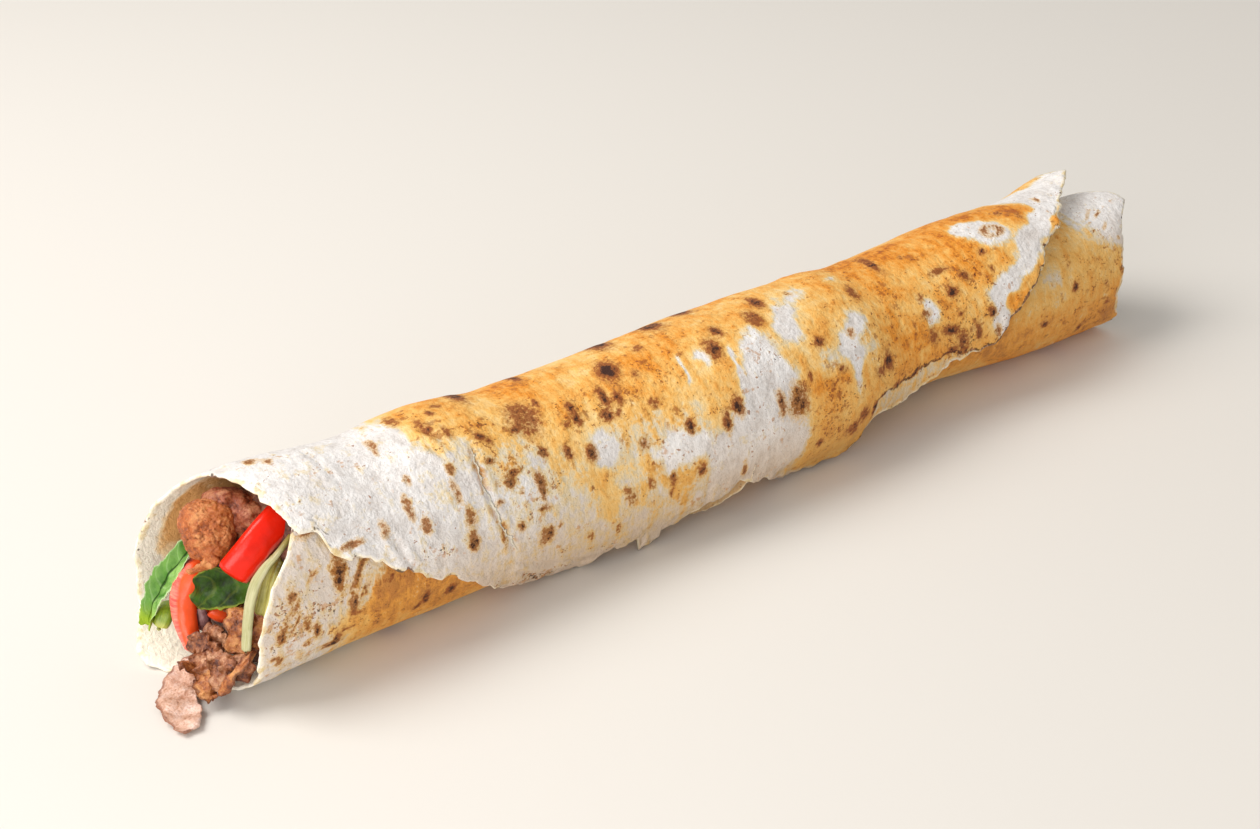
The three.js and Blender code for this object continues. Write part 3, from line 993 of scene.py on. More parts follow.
@dataclass(frozen=True)
class ShredFinish:
    """A raw shred: pale moist flesh with fine lines along it and a tinted end."""

    name: str
    flesh: Colour
    shade: Colour
    end: Colour

    def material(self) -> bpy.types.Material:
        """Builds the material.

        Returns:
            The material.
        """
        g = Graph(self.name)
        lines = g.rough(1.0, 3.0, 0.6, g.flat(110.0, 1700.0))
        broad = g.rough(240.0, 3.0)
        colour = g.blend(lines * 0.5 + broad * 0.25 + 0.4, self.flesh, self.shade)
        colour = g.blend((0.3 - g.mark("passed") + broad * 0.05).above(0.0, 0.25), colour, self.end)
        return g.finish(colour, 0.34, lines * 0.05 + broad * 0.04, Specular_IOR_Level=0.5)


# ---------------------------------------------------------------------------------------------
# Flatbread
# ---------------------------------------------------------------------------------------------


class Face(Enum):
    """The two faces of the sheet."""

    OUTER = 1.0
    INNER = -1.0


def sheet_distance(x: Array, angle: Array, line: Knots, radius: float) -> Array:
    """Distance in millimetres from places on the sheet to a line of places and angles.

    Args:
        x: Places along the roll.
        angle: Angles round it.
        line: The line's corners.
        radius: The roll's radius.

    Returns:
        One distance a place.
    """
    scaled = [(along, np.radians(around) * radius) for along, around in line]
    return line_distance(x, np.radians(angle) * radius, scaled)


@dataclass(frozen=True)
class Spot:
    """A burnt spot or a patch on the sheet: its place, half sizes in millimetres, and strength."""

    along: float
    around: float
    long: float
    wide: float
    strength: float

    def cone(self, x: Array, angle: Array, radius: float) -> Array:
        """1 at the middle, falling evenly to 0 at the outline and on below it."""
        across = np.radians(angle - self.around) * radius
        return 1.0 - np.hypot((x - self.along) / self.long, across / self.wide)


@dataclass(frozen=True)
class Band:
    """A long patch on the sheet: a line of places and angles, its half width and its strength."""

    half: float
    strength: float
    line: Knots

    def cone(self, x: Array, angle: Array, radius: float) -> Array:
        """1 along the line, falling evenly to 0 at the border and on below it."""
        return 1.0 - sheet_distance(x, angle, self.line, radius) / self.half


def spots(*rows: tuple[float, float, float, float, float]) -> tuple[Spot, ...]:
    """Spots from rows of place along, angle, half length, half width and strength."""
    return tuple(Spot(*row) for row in rows)


@dataclass
class Flatbread:
    """One thin sheet rolled about one and a half turns, with a ragged free edge.

    A point lies at the spiral radius R(x) - t/2 - p (225 - angle) / 360 from the axis, plus how far the
    flap stands off, a fold across the flap, the flare of the mouth, a swelling by the far tip and the
    relief of blisters and creases. Under the roll it is pressed flat on the resting plane.
    """

    thickness: float = 1.5
    pitch: float = 2.1
    sink: float = 1.2
    corner: float = -157.0
    tip: float = 170.0
    outer_angle: float = 225.0
    bottom_turns: float = 0.9
    inner_end: tuple[float, float] = (-285.0, -342.0)
    mean_radius: float = 30.0
    columns: int = 300
    blisters: int = 170
    unseen_spots: int = 60
    fold_humps: Knots = ((-104, 27), (-150, 26))  # each hump's middle along the roll and its reach
    tab: tuple[float, ...] = (-49.4, -48.0, -41.8, -40.6)  # a torn tab starts, is full, and ends here
    ring: tuple[float, ...] = (117, 3.4, 107, 2.4)  # a brown ring: x, half length, angle, half width
    layer_start: float = -34.0
    layer_length: float = 27.0
    layer_root: float = 193.0
    layer_reach: float = 33.0
    roll: Knots = (
        (-200, 31.4), (-150, 31), (-100, 30.4), (-60, 29.8), (-30, 30.3), (-10, 30.8), (10, 30.6), (30, 30.1),
        (45, 29), (58, 27), (70, 26.3), (82, 26.2), (95, 26.7), (110, 27.5), (125, 27.9), (140, 27.6),
        (180, 26.8))
    tail_rise: Knots = ((35, 0), (70, 3.4), (95, 3.2), (135, 0.6), (160, 0))
    tail_shift: Knots = ((35, 0), (75, 3), (130, 1), (170, 0))
    torn_edge: Knots = (
        (-157, 133), (-153, 134), (-151, 138), (-150.4, 147.5), (-148.3, 151), (-145, 154), (-140, 158.5),
        (-137, 161), (-134.4, 165.5), (-132, 171), (-129.5, 172.5), (-127, 176.5), (-123, 181), (-120, 186),
        (-117, 187), (-112.7, 190.7), (-111, 194), (-108.8, 197), (-106.5, 203), (-104.4, 207.5),
        (-100, 213.7), (-97, 220), (-94, 221), (-90, 227), (-86, 228.5), (-80, 232), (-72, 231.5), (-66, 233),
        (-62, 222), (-58, 218), (-54, 220), (-50, 219), (-48.9, 217.5), (-48.5, 220), (-48.1, 226),
        (-41.8, 227), (-41.3, 219), (-38, 217), (-35, 220), (-31, 214), (-27, 209.5), (-23, 210), (-20, 211),
        (-16, 206), (-12, 201.5), (-8, 206), (-5, 211), (-1, 212), (2, 215), (5, 223), (9, 226), (14, 228),
        (20, 231), (28, 230), (34, 230), (38, 227), (41, 222), (42.4, 208), (46, 202), (52, 200), (57, 202),
        (62, 202), (68, 197), (77, 191), (84, 187), (90, 184.5), (96.5, 185), (102, 181.5), (105, 176),
        (109.4, 168), (112, 164.5), (115, 160), (119, 156), (123, 151), (125, 145), (127, 141), (131, 132.5),
        (133, 130), (136, 124), (140, 121), (143.4, 117), (147, 110), (151.7, 102), (156, 95), (161, 88),
        (166.6, 80), (170, 76))
    flap_lift: Knots = (
        (-157, 0.3), (-95, 0.8), (-60, 3.6), (-30, 3.8), (0, 2.8), (45, 3.2), (90, 4), (130, 4.2), (155, 6.2),
        (170, 10))
    flap_reach: Knots = ((-157, 50), (-60, 60), (-10, 120), (20, 220), (90, 250), (170, 160))
    mouth_rim: Knots = (
        (133, -157), (95, -164), (58, -170), (30, -180), (0, -187), (-30, -191), (-57, -196), (-72, -191),
        (-90, -184), (-135, -177), (-177, -175), (-197, -171), (-231, -157), (-290, -146))
    far_rim: Knots = (
        (76, 170), (30, 162), (-40, 164), (-100, 172), (-129, 174), (-173, 167), (-208, 171), (-240, 178),
        (-258, 186), (-285, 178), (-345, 168))
    gold_edge: Knots = (
        (-118, 60), (-115, 78), (-113, 100), (-107, 112), (-101, 118), (-96, 126), (-88, 128), (-80, 131),
        (-77, 144), (-70, 149), (-61, 151), (-54, 157), (-45, 160), (-28, 162), (-18, 164), (-8, 170),
        (10, 205), (60, 240), (180, 240))
    scorches: tuple[Spot, ...] = spots(
        (-43.8, 102, 3.4, 4.6, 1.4), (-62.3, 126, 1.7, 2.4, 1.1), (-62.5, 118, 1.2, 2.4, 0.9),
        (-67, 127, 1.2, 1.4, 0.8), (-51, 118, 1.6, 3.4, 0.9), (-53, 130, 2.2, 1.9, 1.0),
        (-49, 132, 1.2, 1.3, 1.0), (-47, 123, 1.6, 2.4, 0.7), (-78, 113, 4.2, 5.5, 0.5),
        (-78, 138, 1.6, 1.8, 0.9), (-83, 119, 1.3, 1.2, 0.9), (-70.5, 142, 1.4, 2.4, 0.8),
        (-63, 148, 1.7, 2.8, 1.1), (-45, 154, 1.9, 2.0, 1.0), (-28.5, 155, 1.4, 2.2, 1.0),
        (-11, 154, 2.0, 3.0, 1.1), (-16, 160, 1.3, 3.2, 0.9), (-9.5, 117, 2.6, 3.6, 1.0),
        (-4, 106, 1.9, 2.4, 0.8), (-95, 116, 1.9, 1.3, 0.9), (-92.5, 121, 1.3, 1.2, 0.8),
        (-103, 90, 1.3, 1.4, 0.8), (-114, 82, 1.8, 3.0, 0.4), (-108, 101, 1.4, 4.0, 0.4),
        (-103, 109, 1.2, 2.4, 0.4), (-99, 84, 1.4, 1.0, 0.6), (-124, 97, 1.1, 3.0, 0.55),
        (-71, 105, 0.9, 1.6, 0.7), (-37, 134, 1.5, 1.7, 0.5), (-36.5, 112, 1.4, 1.7, 0.5),
        (-30, 93, 1.6, 1.8, 0.45), (-95, 132, 1.6, 0.9, 0.9), (-92, 146, 1.9, 1.8, 1.0),
        (-89, 142, 1.8, 0.9, 0.8), (-89, 153.5, 0.9, 1.0, 0.7), (-97, 155.5, 1.7, 0.9, 0.9),
        (-99.5, 134, 1.1, 2.6, 0.5), (-108, 129, 1.2, 1.5, 0.55), (-109, 141, 0.9, 3.2, 0.5),
        (-82.5, 152, 1.6, 3.6, 0.6), (-82.5, 160, 1.3, 1.2, 0.8), (-83, 168, 2.2, 1.0, 0.6),
        (-92, 174, 1.3, 1.5, 0.9), (-83.5, 186, 2.4, 2.6, 0.55), (-82, 183, 1.0, 1.6, 0.8),
        (-78.5, 181, 1.0, 1.0, 0.7), (-68, 198, 1.3, 1.7, 0.6), (-58, 199, 1.0, 2.0, 0.5),
        (-121, 126, 0.9, 1.6, 0.5), (-124.5, 140, 1.1, 3.2, 0.5), (-121, 152, 1.2, 2.2, 0.75),
        (-133.5, 146, 1.4, 2, 0.45), (-144, 148, 3.2, 0.9, 0.6), (-107, 157, 1.6, 2.6, 0.5),
        (-108, 171, 1.5, 3.0, 0.6), (-98, 175, 1.0, 4.0, 0.4), (-54, 180, 1.6, 2.6, 0.45),
        (-46, 178, 1.2, 1.6, 0.4), (-38, 180, 1.4, 1.6, 0.8), (-28, 181, 1.4, 1.9, 0.9),
        (-40, 189, 0.9, 1.8, 0.5), (-11.5, 193, 1.1, 2.2, 0.6), (5, 162, 1.4, 3.4, 0.8),
        (12, 164, 3.4, 4.6, 0.75), (18, 153, 0.9, 1.8, 0.7), (26.5, 137, 1.9, 1.7, 0.9),
        (31.5, 155.5, 2.0, 1.1, 0.9), (40, 138, 1.5, 1.4, 0.4), (52, 163, 1.9, 3.0, 0.7),
        (47.5, 168, 2.2, 1.6, 0.7), (51.5, 113, 1.8, 3.0, 0.5), (17.5, 92, 2.0, 4.0, 0.7),
        (11, 106, 2.6, 3.6, 0.5), (68.5, 92, 1.7, 6.5, 0.55), (69, 98, 1.0, 1.2, 0.8),
        (80, 99, 0.9, 0.9, 0.8), (88, 122, 3.4, 1.5, 0.7), (75, 134, 1.4, 1.0, 1.0),
        (95.5, 132, 1.9, 1.7, 1.1), (88, 139, 2.3, 2.4, 1.0), (107, 120, 1.7, 1.2, 1.1),
        (107, 134, 0.9, 1.0, 0.8), (74.5, 147, 1.9, 1.6, 1.1), (88, 154, 1.4, 0.9, 0.8),
        (101, 160.5, 1.5, 1.7, 1.0), (75, 162, 1.6, 2.6, 0.7), (83, 163, 3.0, 1.6, 0.8),
        (87, 173, 2.6, 3.4, 0.95), (82, 176, 2.0, 1.3, 0.9), (94, 170, 1.3, 3.0, 0.8),
        (102, 174, 1.2, 2.0, 0.8), (65, 182, 1.7, 1.1, 1.1), (48, 183, 1.6, 0.9, 0.9),
        (56, 182, 2.0, 0.8, 0.7), (39, 189, 2.5, 2.0, 0.7), (34, 196, 2.5, 2.0, 0.6),
        (20, 197, 1.5, 1.3, 0.7), (44, 190, 1.2, 2.5, 0.9), (127, 92.5, 1.5, 1.5, 0.7),
        (132, 102, 1.1, 1.4, 0.6), (146, 90, 0.8, 1.8, 0.6), (30, 95, 1.1, 1.5, 0.5),
        (-90, 73, 2.4, 6.5, 0.9), (-68, 69, 1.5, 5.0, 0.8), (-36, 66, 3.6, 6.8, 0.9),
        (-17, 71, 3.6, 6.0, 0.85), (-2, 62, 3.4, 5.5, 0.8), (-157, 76, 1.6, 1.8, 0.5),
        (-153, 83, 1.2, 1.5, 0.6), (-157, -206, 1.2, 1.5, 0.8), (-148, -205, 1.5, 3.2, 1.1),
        (-149.6, -197, 1.9, 4.3, 1.2), (-144, -194, 1.0, 1.0, 1.0), (-141.5, -200, 0.9, 1.6, 0.7),
        (-164, -195, 1.6, 2.6, 0.95), (-146.6, -178, 1.6, 4.6, 1.1), (-144.5, -173, 2.4, 1.7, 1.1),
        (-142, -185.5, 0.9, 1.1, 0.9), (-136, -189, 3.0, 2.0, 1.2), (-134.5, -187, 1.4, 2.4, 1.2),
        (-137.5, -180, 1.1, 1.1, 0.8), (-160, -183, 1.0, 1.2, 0.8), (-163.5, -185, 0.9, 3.0, 0.7),
        (-167, -184, 1.6, 1.2, 0.5), (-161, -176, 1.0, 3.0, 0.6), (-166.5, -176, 0.9, 2.0, 0.5),
        (-169.6, -172.5, 1.8, 1.5, 1.0), (-158, -169, 1.0, 2.6, 0.95), (-172, -160, 1.4, 1.1, 0.9),
        (-170.7, -157.5, 1.0, 2.2, 1.1), (-162, -161.5, 1.1, 1.1, 0.95), (-153.5, -151, 2.8, 1.6, 1.1),
        (-152, -155, 1.1, 3.0, 1.0), (-148.5, -160, 1.7, 1.0, 0.6), (-123.5, -158, 1.8, 3.6, 0.8),
        (-126.3, -152, 1.1, 2.2, 0.9), (-114.5, -156, 2.2, 2.6, 1.0), (-107, -156, 0.9, 1.0, 0.7),
        (-154, -225, 2.6, 0.9, 0.7), (144, -196, 1.7, 1.8, 1.0), (160, -191, 1.0, 1.2, 0.9),
        (129.5, -170.5, 2.0, 1.3, 0.9), (150, -150, 1.2, 2.6, 0.9), (143, -215, 0.9, 1.1, 0.5),
        (168, -252, 2.2, 1.3, 0.75), (166, -259, 2.4, 1.2, 0.45), (163.5, -246, 0.9, 0.9, 0.5),
        (167.5, -238, 1.2, 0.9, 0.5), (171, -223, 1.0, 1.1, 0.6), (168, -196, 0.9, 2.0, 0.6),
        (161, -172, 1.4, 2.0, 0.35))
    patches: tuple[Spot, ...] = spots(
        (-15, 121, 2.2, 4.4, -1.7), (5, 124, 5.6, 5.8, -1.8), (20, 121, 5.6, 6.6, -1.8),
        (24, 104, 4.2, 4.2, -1.3), (32, 96, 4.2, 5.5, -1.3), (4, 147, 8.5, 8, -1.8), (2, 168, 11, 11, -1.7),
        (-14, 177, 7, 8, -1.3), (4, 190, 12, 8, -1.6), (-33, 166, 6.5, 4, -1.3), (-58, 147, 4, 4, -1.3),
        (28, 148, 7, 5.5, -1.0), (38.5, 144, 3.6, 8, -1.6), (46, 132, 4.2, 4.8, -1.6),
        (37, 169, 3.2, 5.5, -1.4), (47, 151, 6.5, 4.5, -0.9), (76, 146, 3.8, 4.5, -2.0),
        (49, 94, 4, 2.2, -0.9), (-62, 168, 3.4, 9, 0.8), (-35, 192, 3, 7, 0.25), (-28, 181, 2.4, 2.4, 0.25),
        (-38, 180, 2.2, 2, 0.25), (28, 184, 8, 11, 1.2), (20, 166, 3, 6, 0.8), (-17, 158, 3.4, 6, 0.6),
        (-10, 150, 3, 5, 0.6), (-110, 84, 4, 6, 0.6), (-109, 103, 2.5, 8, 0.5), (113, 158, 5, 4, 1.3),
        (-40, 142, 18, 12, -0.4), (-42, 194, 24, 17, 0.36), (18, 206, 22, 11, 0.36), (-66, 190, 16, 14, 0.24),
        (-95, 190, 14, 15, 0.2), (-104, 150, 12, 14, 0.22), (-75, 158, 12, 12, 0.2), (-12, 178, 8, 10, 0.15),
        (-40, 176, 16, 6, 0.1), (134, -207, 2.6, 3.2, -0.9), (176, -262, 16, 19, -2.2),
        (-148, -164, 4.5, 4, 0.9), (-146, -148, 6, 6, 0.4), (-140, -171, 3, 5, 0.5), (60, 40, 14, 8, -1.1),
        (-30, 20, 16, 9, -1.0), (110, 10, 12, 8, -1.0), (20, -30, 20, 8, -1.1), (-70, -10, 12, 10, -1.0),
        (80, -70, 18, 9, -1.0), (-30, -80, 20, 10, -1.0))
    bands: tuple[Band, ...] = (
        Band(3.6, -2.2, (
            (105, 172), (106, 148), (112, 143), (119, 139), (125, 128), (131, 117), (140, 107), (150, 99))),
        Band(9.0, -2.4, ((143, 60), (150, 78), (160, 82), (168, 77))),
        Band(4.8, -2.3, ((109, 98), (118, 110))),
        Band(0.9, -1.3, ((-22, 115), (-23, 131))),
        Band(1.3, -1.4, ((-5, 120), (-6, 148))))
    soot: tuple[Spot, ...] = spots(
        (90, 160, 26, 26, 0.8), (60, 130, 24, 30, 0.45), (-40, 130, 40, 30, 0.3), (-62, 124, 8, 9, 1.0),
        (-50, 125, 8, 8, 1.0), (-78, 115, 7, 8, 0.8), (-95, 117, 8, 6, 0.8), (-108, 100, 6, 14, 0.7),
        (-90, 145, 10, 10, 0.5), (-82, 165, 8, 18, 0.6), (12, 164, 4.5, 7, 1.5), (27, 178, 10, 14, 0.9),
        (50, 165, 6, 6, 1.0), (88, 170, 14, 10, 1.2), (88, 135, 14, 10, 0.8), (69, 92, 4, 8, 0.9),
        (0, 150, 14, 16, 0.5), (-30, 120, 12, 16, 0.4), (100, 125, 8, 12, 0.5), (-150, -190, 14, 14, 0.8),
        (-165, -178, 12, 12, 1.1), (-145, -165, 14, 12, 0.7), (-14, 158, 6, 8, 0.8), (68, 181, 22, 2, 1.0),
        (148, -180, 22, 26, 0.5), (-120, 170, 12, 12, 0.3), (-86, 218, 10, 6, 1.2), (-60, 212, 12, 5, 0.8))
    lip: Knots = (
        (38, 0), (41, 3), (46, 8.2), (52, 8.8), (60, 10.2), (68, 8.6), (77, 6.3), (84, 3.6), (90, 1.2),
        (96, 0.3), (130, 0.2))
    creases: tuple[Knots, ...] = (
        ((-98, 119), (-100, 132), (-99.5, 158.6), (-95, 187)), ((-118.5, 155.6), (-108.6, 145.1)),
        ((-110, 100), (-107, 108), (-105, 119)), ((-113, 103), (-110, 112), (-108, 122)),
        ((-142, 78), (-140, 112)), ((-116, 100), (-113, 111)), ((-93, 205), (-88, 214), (-84, 220)),
        ((-92, 199), (-80, 211), (-66, 219)), ((-132, 150), (-130, 165), (-128, 172)))

    def axis_height(self, x: Array) -> Array:
        """Height of the roll's axis, so that its bottom is pressed flat."""
        return follow(self.roll, x) - self.pitch * self.bottom_turns - self.sink + follow(self.tail_rise, x)

    def grid(self) -> tuple[Array, Array]:
        """The sheet's own grid: u along the roll, v inwards from the free edge, close where it shows."""
        inward = np.concatenate([np.arange(0, 24, 1.3), np.arange(24, 368, 3.1), np.linspace(370, 500, 16)])
        return net(np.linspace(0, 1, self.columns + 1), inward / inward[-1])

    def ends(self, u: Array) -> Array:
        """Millimetres to the nearer end of the sheet's length."""
        return np.minimum(u, 1 - u) * (self.tip - self.corner)

    def around(self, angle: Array) -> Array:
        """Angles as millimetres round the roll."""
        return np.radians(angle) * self.mean_radius

    def sheet_place(self, u: Array, v: Array) -> tuple[Array, Array, Array, Array]:
        """Where a point of the sheet lies.

        The free edge has its torn outline near it and a soft one further in. The two rims move the points
        near them along the roll by (1 - u)^4 and u^4.

        Args:
            u: Share of the length along the free edge.
            v: Share of the turns inwards from it.

        Returns:
            The place along the roll, the angle, the degrees passed from the free edge, and the place along
            the free edge.
        """
        edge_x = self.corner + (self.tip - self.corner) * u
        rough = np.stack([edge_x, edge_x * 0, edge_x * 0], axis=-1)
        torn = np.interp(edge_x, *np.array(self.torn_edge).T)
        torn = torn + 2.8 * cloud(rough, 2.7, 5) * smooth(u, 0.0, 0.05) * (1 - smooth(u, 0.95, 1.0))
        inner = self.inner_end[0] + (self.inner_end[1] - self.inner_end[0]) * u
        soft = self.soft_edge(edge_x)
        angle = soft + (inner - soft) * v
        angle = angle + (torn - soft) * fade(soft - angle, 45.0)
        crumbs = cloud(np.stack([angle * 0.5, angle * 0, u * 0], axis=-1), 2.4, 8)
        near = (follow(self.mouth_rim, angle) - self.corner + crumbs) * (1 - u) ** 4
        far = (follow(self.far_rim, angle) - self.tip + crumbs) * u**4
        return edge_x + near + far, angle, torn - angle, edge_x

    def wrapped(self, x: Array, angle: Array) -> Array:
        """The places as points on a round tube, for noise without a seam."""
        turn = np.radians(angle)
        return np.stack([x, self.mean_radius * np.cos(turn), self.mean_radius * np.sin(turn)], axis=-1)

    def stirred(self, x: Array, angle: Array, size: float, reach: float) -> tuple[Array, Array]:
        """The places moved about by noise, so that what lies there gets an uneven outline.

        Args:
            x: Places along the roll.
            angle: Angles round it.
            size: Size of the noise's lumps.
            reach: How far it moves a place.

        Returns:
            The moved places and angles.
        """
        at = self.wrapped(x, angle)
        turn = np.degrees(reach * cloud(at, size, 67) / self.mean_radius)
        return x + reach * cloud(at, size, 61), angle + turn

    def soft_edge(self, edge_x: Array) -> Array:
        """The free edge's angle with its short steps smoothed out along 20 mm."""
        steps = np.linspace(-10, 10, 15)
        return np.mean([np.interp(edge_x + step, *np.array(self.torn_edge).T) for step in steps], axis=0)

    def relief(self, x: Array, angle: Array, inward: Array, drawn: Array) -> Array:
        """Blisters, soft waves and creases, in millimetres, only where no turn lies over them.

        A blister is h (1 - d^2)^2 inside its outline. A crease is a groove exp(-(d/w)^2) with a ridge
        beside it.

        Args:
            x: Places along the roll.
            angle: Angles round it.
            inward: Degrees passed from the torn edge.
            drawn: Degrees passed from the soft edge.

        Returns:
            How far the sheet stands out.
        """
        wrapped = self.wrapped(x, angle)
        total = 0.3 * cloud(wrapped, 9.0, 31, 2) + 0.16 * cloud(wrapped, 4.5, 37, 1)
        random = np.random.default_rng(11)
        for _ in range(self.blisters):
            place = random.uniform(-190, 185), random.uniform(-230, 230)
            blister = Spot(*place, *random.uniform(2.0, 5.5, 2), 0.0)
            inside = np.clip(1.0 - (1.0 - blister.cone(x, angle, self.mean_radius)) ** 2, 0.0, 1.0)
            total += random.uniform(0.12, 0.42) * inside**2
        for spot in self.scorches:
            total += 0.22 * spot.strength * smooth(spot.cone(x, angle, self.mean_radius), -0.6, 0.8)
        for line in self.creases:
            off = sheet_distance(x, angle, line, self.mean_radius)
            total += -0.55 * np.exp(-((off / 0.9) ** 2)) + 0.4 * np.exp(-(((off - 1.9) / 1.1) ** 2))
        fringe = fade(drawn, 24.0) * smooth(inward, 0.5, 4.0)
        total += fringe * (0.9 * cloud(wrapped, 3.2, 43, 2) + 0.35 * np.abs(cloud(wrapped, 1.7, 44, 1)))
        total += 0.7 * fade(drawn, 11.0) * cloud(wrapped, 2.1, 45, 1)
        total -= 0.5 * smooth(self.lip_depth(x) - self.around(inward), -0.8, 0.8)
        return np.clip(total, -0.35, 1.5) * (1 - smooth(inward, 345, 362))

    def points(self, u: Array, v: Array, face: Face) -> Array:
        """Points of one face of the sheet.

        Args:
            u: Share of the length along the free edge.
            v: Share of the turns inwards from it.
            face: Which face.

        Returns:
            One point a place.
        """
        x, angle, inward, edge_x = self.sheet_place(u, v)
        turn, drawn = np.radians(angle), np.maximum(self.soft_edge(edge_x) - angle, 0.0)
        radius = follow(self.roll, x) - self.thickness / 2 - self.pitch * (self.outer_angle - angle) / 360
        radius += follow(self.flap_lift, edge_x) * fade(drawn, follow(self.flap_reach, edge_x))
        crossing = smooth(angle, 20, 70) * (1 - smooth(angle, 95, 165))
        (flap_fold, flap_reach), (mouth_fold, mouth_reach) = self.fold_humps
        radius += 2.6 * fade(np.abs(x - flap_fold), flap_reach) * crossing
        radius += 1.7 * fade(np.abs(x - mouth_fold), mouth_reach) * crossing
        radius += 2.5 * fade(u, 0.08) * (0.5 + 0.5 * np.cos(turn - np.radians(20)))
        radius += 2.0 * smooth(u, 0.9, 1.0) * fade(np.abs(angle + 275), 60)
        radius += 0.5 * wander(x / 40 + np.cos(turn), 2 * np.sin(turn), 1)
        radius += self.relief(x, angle, inward, drawn)
        curl = 0.25 + cloud(self.wrapped(x, angle), 4.2, 47, 2)
        radius += 1.5 * np.clip(curl, 0, 1) * fade(drawn, 9.0) * smooth(u, 0.01, 0.05)
        radius += 1.6 * smooth(x, *self.tab[:2]) * (1 - smooth(x, *self.tab[2:])) * fade(inward, 9.0)
        edges = np.minimum(self.around(inward), self.ends(u))
        thin = self.thickness * (0.72 + 0.28 * smooth(edges, 0.0, 4.0))
        radius += face.value * thin / 2
        floor = 0.0 * x if face is Face.OUTER else thin
        y = radius * np.cos(turn) + follow(self.tail_shift, x)
        z = self.axis_height(x) + radius * np.sin(turn)
        return np.stack([x, y, np.maximum(z, floor)], axis=-1)

    def gold(self, x: Array, angle: Array, inward: Array) -> Array:
        """How toasted the outer face is: above 0 where it is gold, below 0 where it is floury.

        Args:
            x: Places along the roll.
            angle: Angles round it.
            inward: Degrees passed from the free edge.

        Returns:
            One number a place, between -1.6 and 1.9.
        """
        bare = smooth(self.lip_depth(x) - self.around(inward), -0.4, 0.4)
        x, angle = self.stirred(x, angle, 8.0, 3.4)
        inside = self.around(follow(self.gold_edge, x) - angle) / 9.0
        front = np.clip(np.minimum(inside, (x + 117) / 6.0), -1.3, 2.0)
        under = np.clip((x + 141 + 0.25 * (angle + 175)) / 7.0, -1.0, 1.0) * 0.9
        back = np.clip((x + 108) / 12.0, -1.0, 1.3)
        value = np.where(angle > -110, front, under)
        behind = smooth(angle, -130, -95) * (1 - smooth(angle, 25, 55))
        value = value * (1 - behind) + back * behind
        for patch in (*self.patches, *self.bands):
            share = smooth(patch.cone(x, angle, self.mean_radius), -0.9, 0.9)
            value = value + patch.strength * share * 2.3
        return np.clip(value, -1.6, 1.9) * (1 - bare) - 0.1 * bare

    def deep(self, x: Array, angle: Array) -> Array:
        """Where the gold is darkest: painted shade on the turn under the flap and on the flap where it faces
        the ground, and darker toast on the ridge and the tail.

        Args:
            x: Places along the roll.
            angle: Angles round it.

        Returns:
            One number a place, from 0 to about 1.
        """
        # Painted shade: the turn under the flap near the mouth, and the bottom turn under the tail.
        under = smooth(-angle, 120, 160) * (1 - smooth(x, 100, 130)) * smooth(x, -152, -136)
        under = under + 0.8 * smooth(angle, -215, -165) * (1 - smooth(angle, -110, -80)) * smooth(x, 100, 130)
        ridge = fade(np.abs(angle - 92), 34) * smooth(x, 30, 95) * 0.3
        tail = 0.2 * smooth(x, 35, 70) * (1 - smooth(x, 135, 160)) * smooth(angle, 60, 80)
        # The last term paints shade where the flap turns towards the ground.
        return under + ridge + tail + 0.3 * smooth(angle, 165, 215)

    def low(self, angle: Array) -> Array:
        """Where the sheet turns towards the ground, for painted shade in a warm tan."""
        return smooth(angle, 150, 212) + 0.55 * smooth(angle, -250, -215) * (1 - smooth(angle, -150, -120))

    def scorch(self, x: Array, angle: Array) -> Array:
        """How near each point is to a burnt spot's middle, with more spots scattered over the back.

        Args:
            x: Places along the roll.
            angle: Angles round it.

        Returns:
            One number a place, from -1.4 far off to about 1.
        """
        value = np.full(x.shape, -1.4)
        x, angle = self.stirred(x, angle, 3.4, 0.9)
        random = np.random.default_rng(23)
        unseen = [
            Spot(
                random.uniform(-150, 165), random.uniform(-135, 55), *random.uniform(1.2, 3.4, 2),
                random.uniform(0.4, 1.0))
            for _ in range(self.unseen_spots)
        ]
        for spot in (*self.scorches, *unseen):
            cone = 0.3 + spot.cone(x, angle, self.mean_radius) * 1.1
            value = np.maximum(value, np.minimum(cone, spot.strength * 1.05))
        along, long, around, wide = self.ring
        ring = np.hypot((x - along) / long, self.around(angle - around) / wide)
        return np.maximum(value, 0.75 - 1.6 * np.abs(ring - 1.0))

    def sooty(self, x: Array, angle: Array) -> Array:
        """Where fine dark specks gather: the strongest of the sooty patches.

        Args:
            x: Places along the roll.
            angle: Angles round it.

        Returns:
            One number a place, 0 outside them all.
        """
        x, angle = self.stirred(x, angle, 9.0, 3.0)
        cones = (patch.cone(x, angle, self.mean_radius) for patch in self.soot)
        shares = (patch.strength * smooth(cone, -0.5, 0.9) for patch, cone in zip(self.soot, cones))
        return functools.reduce(np.maximum, shares)

    def lip_depth(self, x: Array) -> Array:
        """Width of the bare lip between the burnt line and the free edge of the tail, in millimetres."""
        return np.interp(x, *np.array(self.lip).T)

    def char(self, x: Array, inward: Array) -> Array:
        """The burnt line a few millimetres inside the free edge of the tail.

        Args:
            x: Places along the roll.
            inward: Degrees passed from the free edge.

        Returns:
            One number a place, 1.4 on the line.
        """
        value = 1.4 - np.abs(self.around(inward) - np.maximum(self.lip_depth(x), 0.3)) / 0.9
        return np.where((x > 38) & (x < 126), value, -1.0)

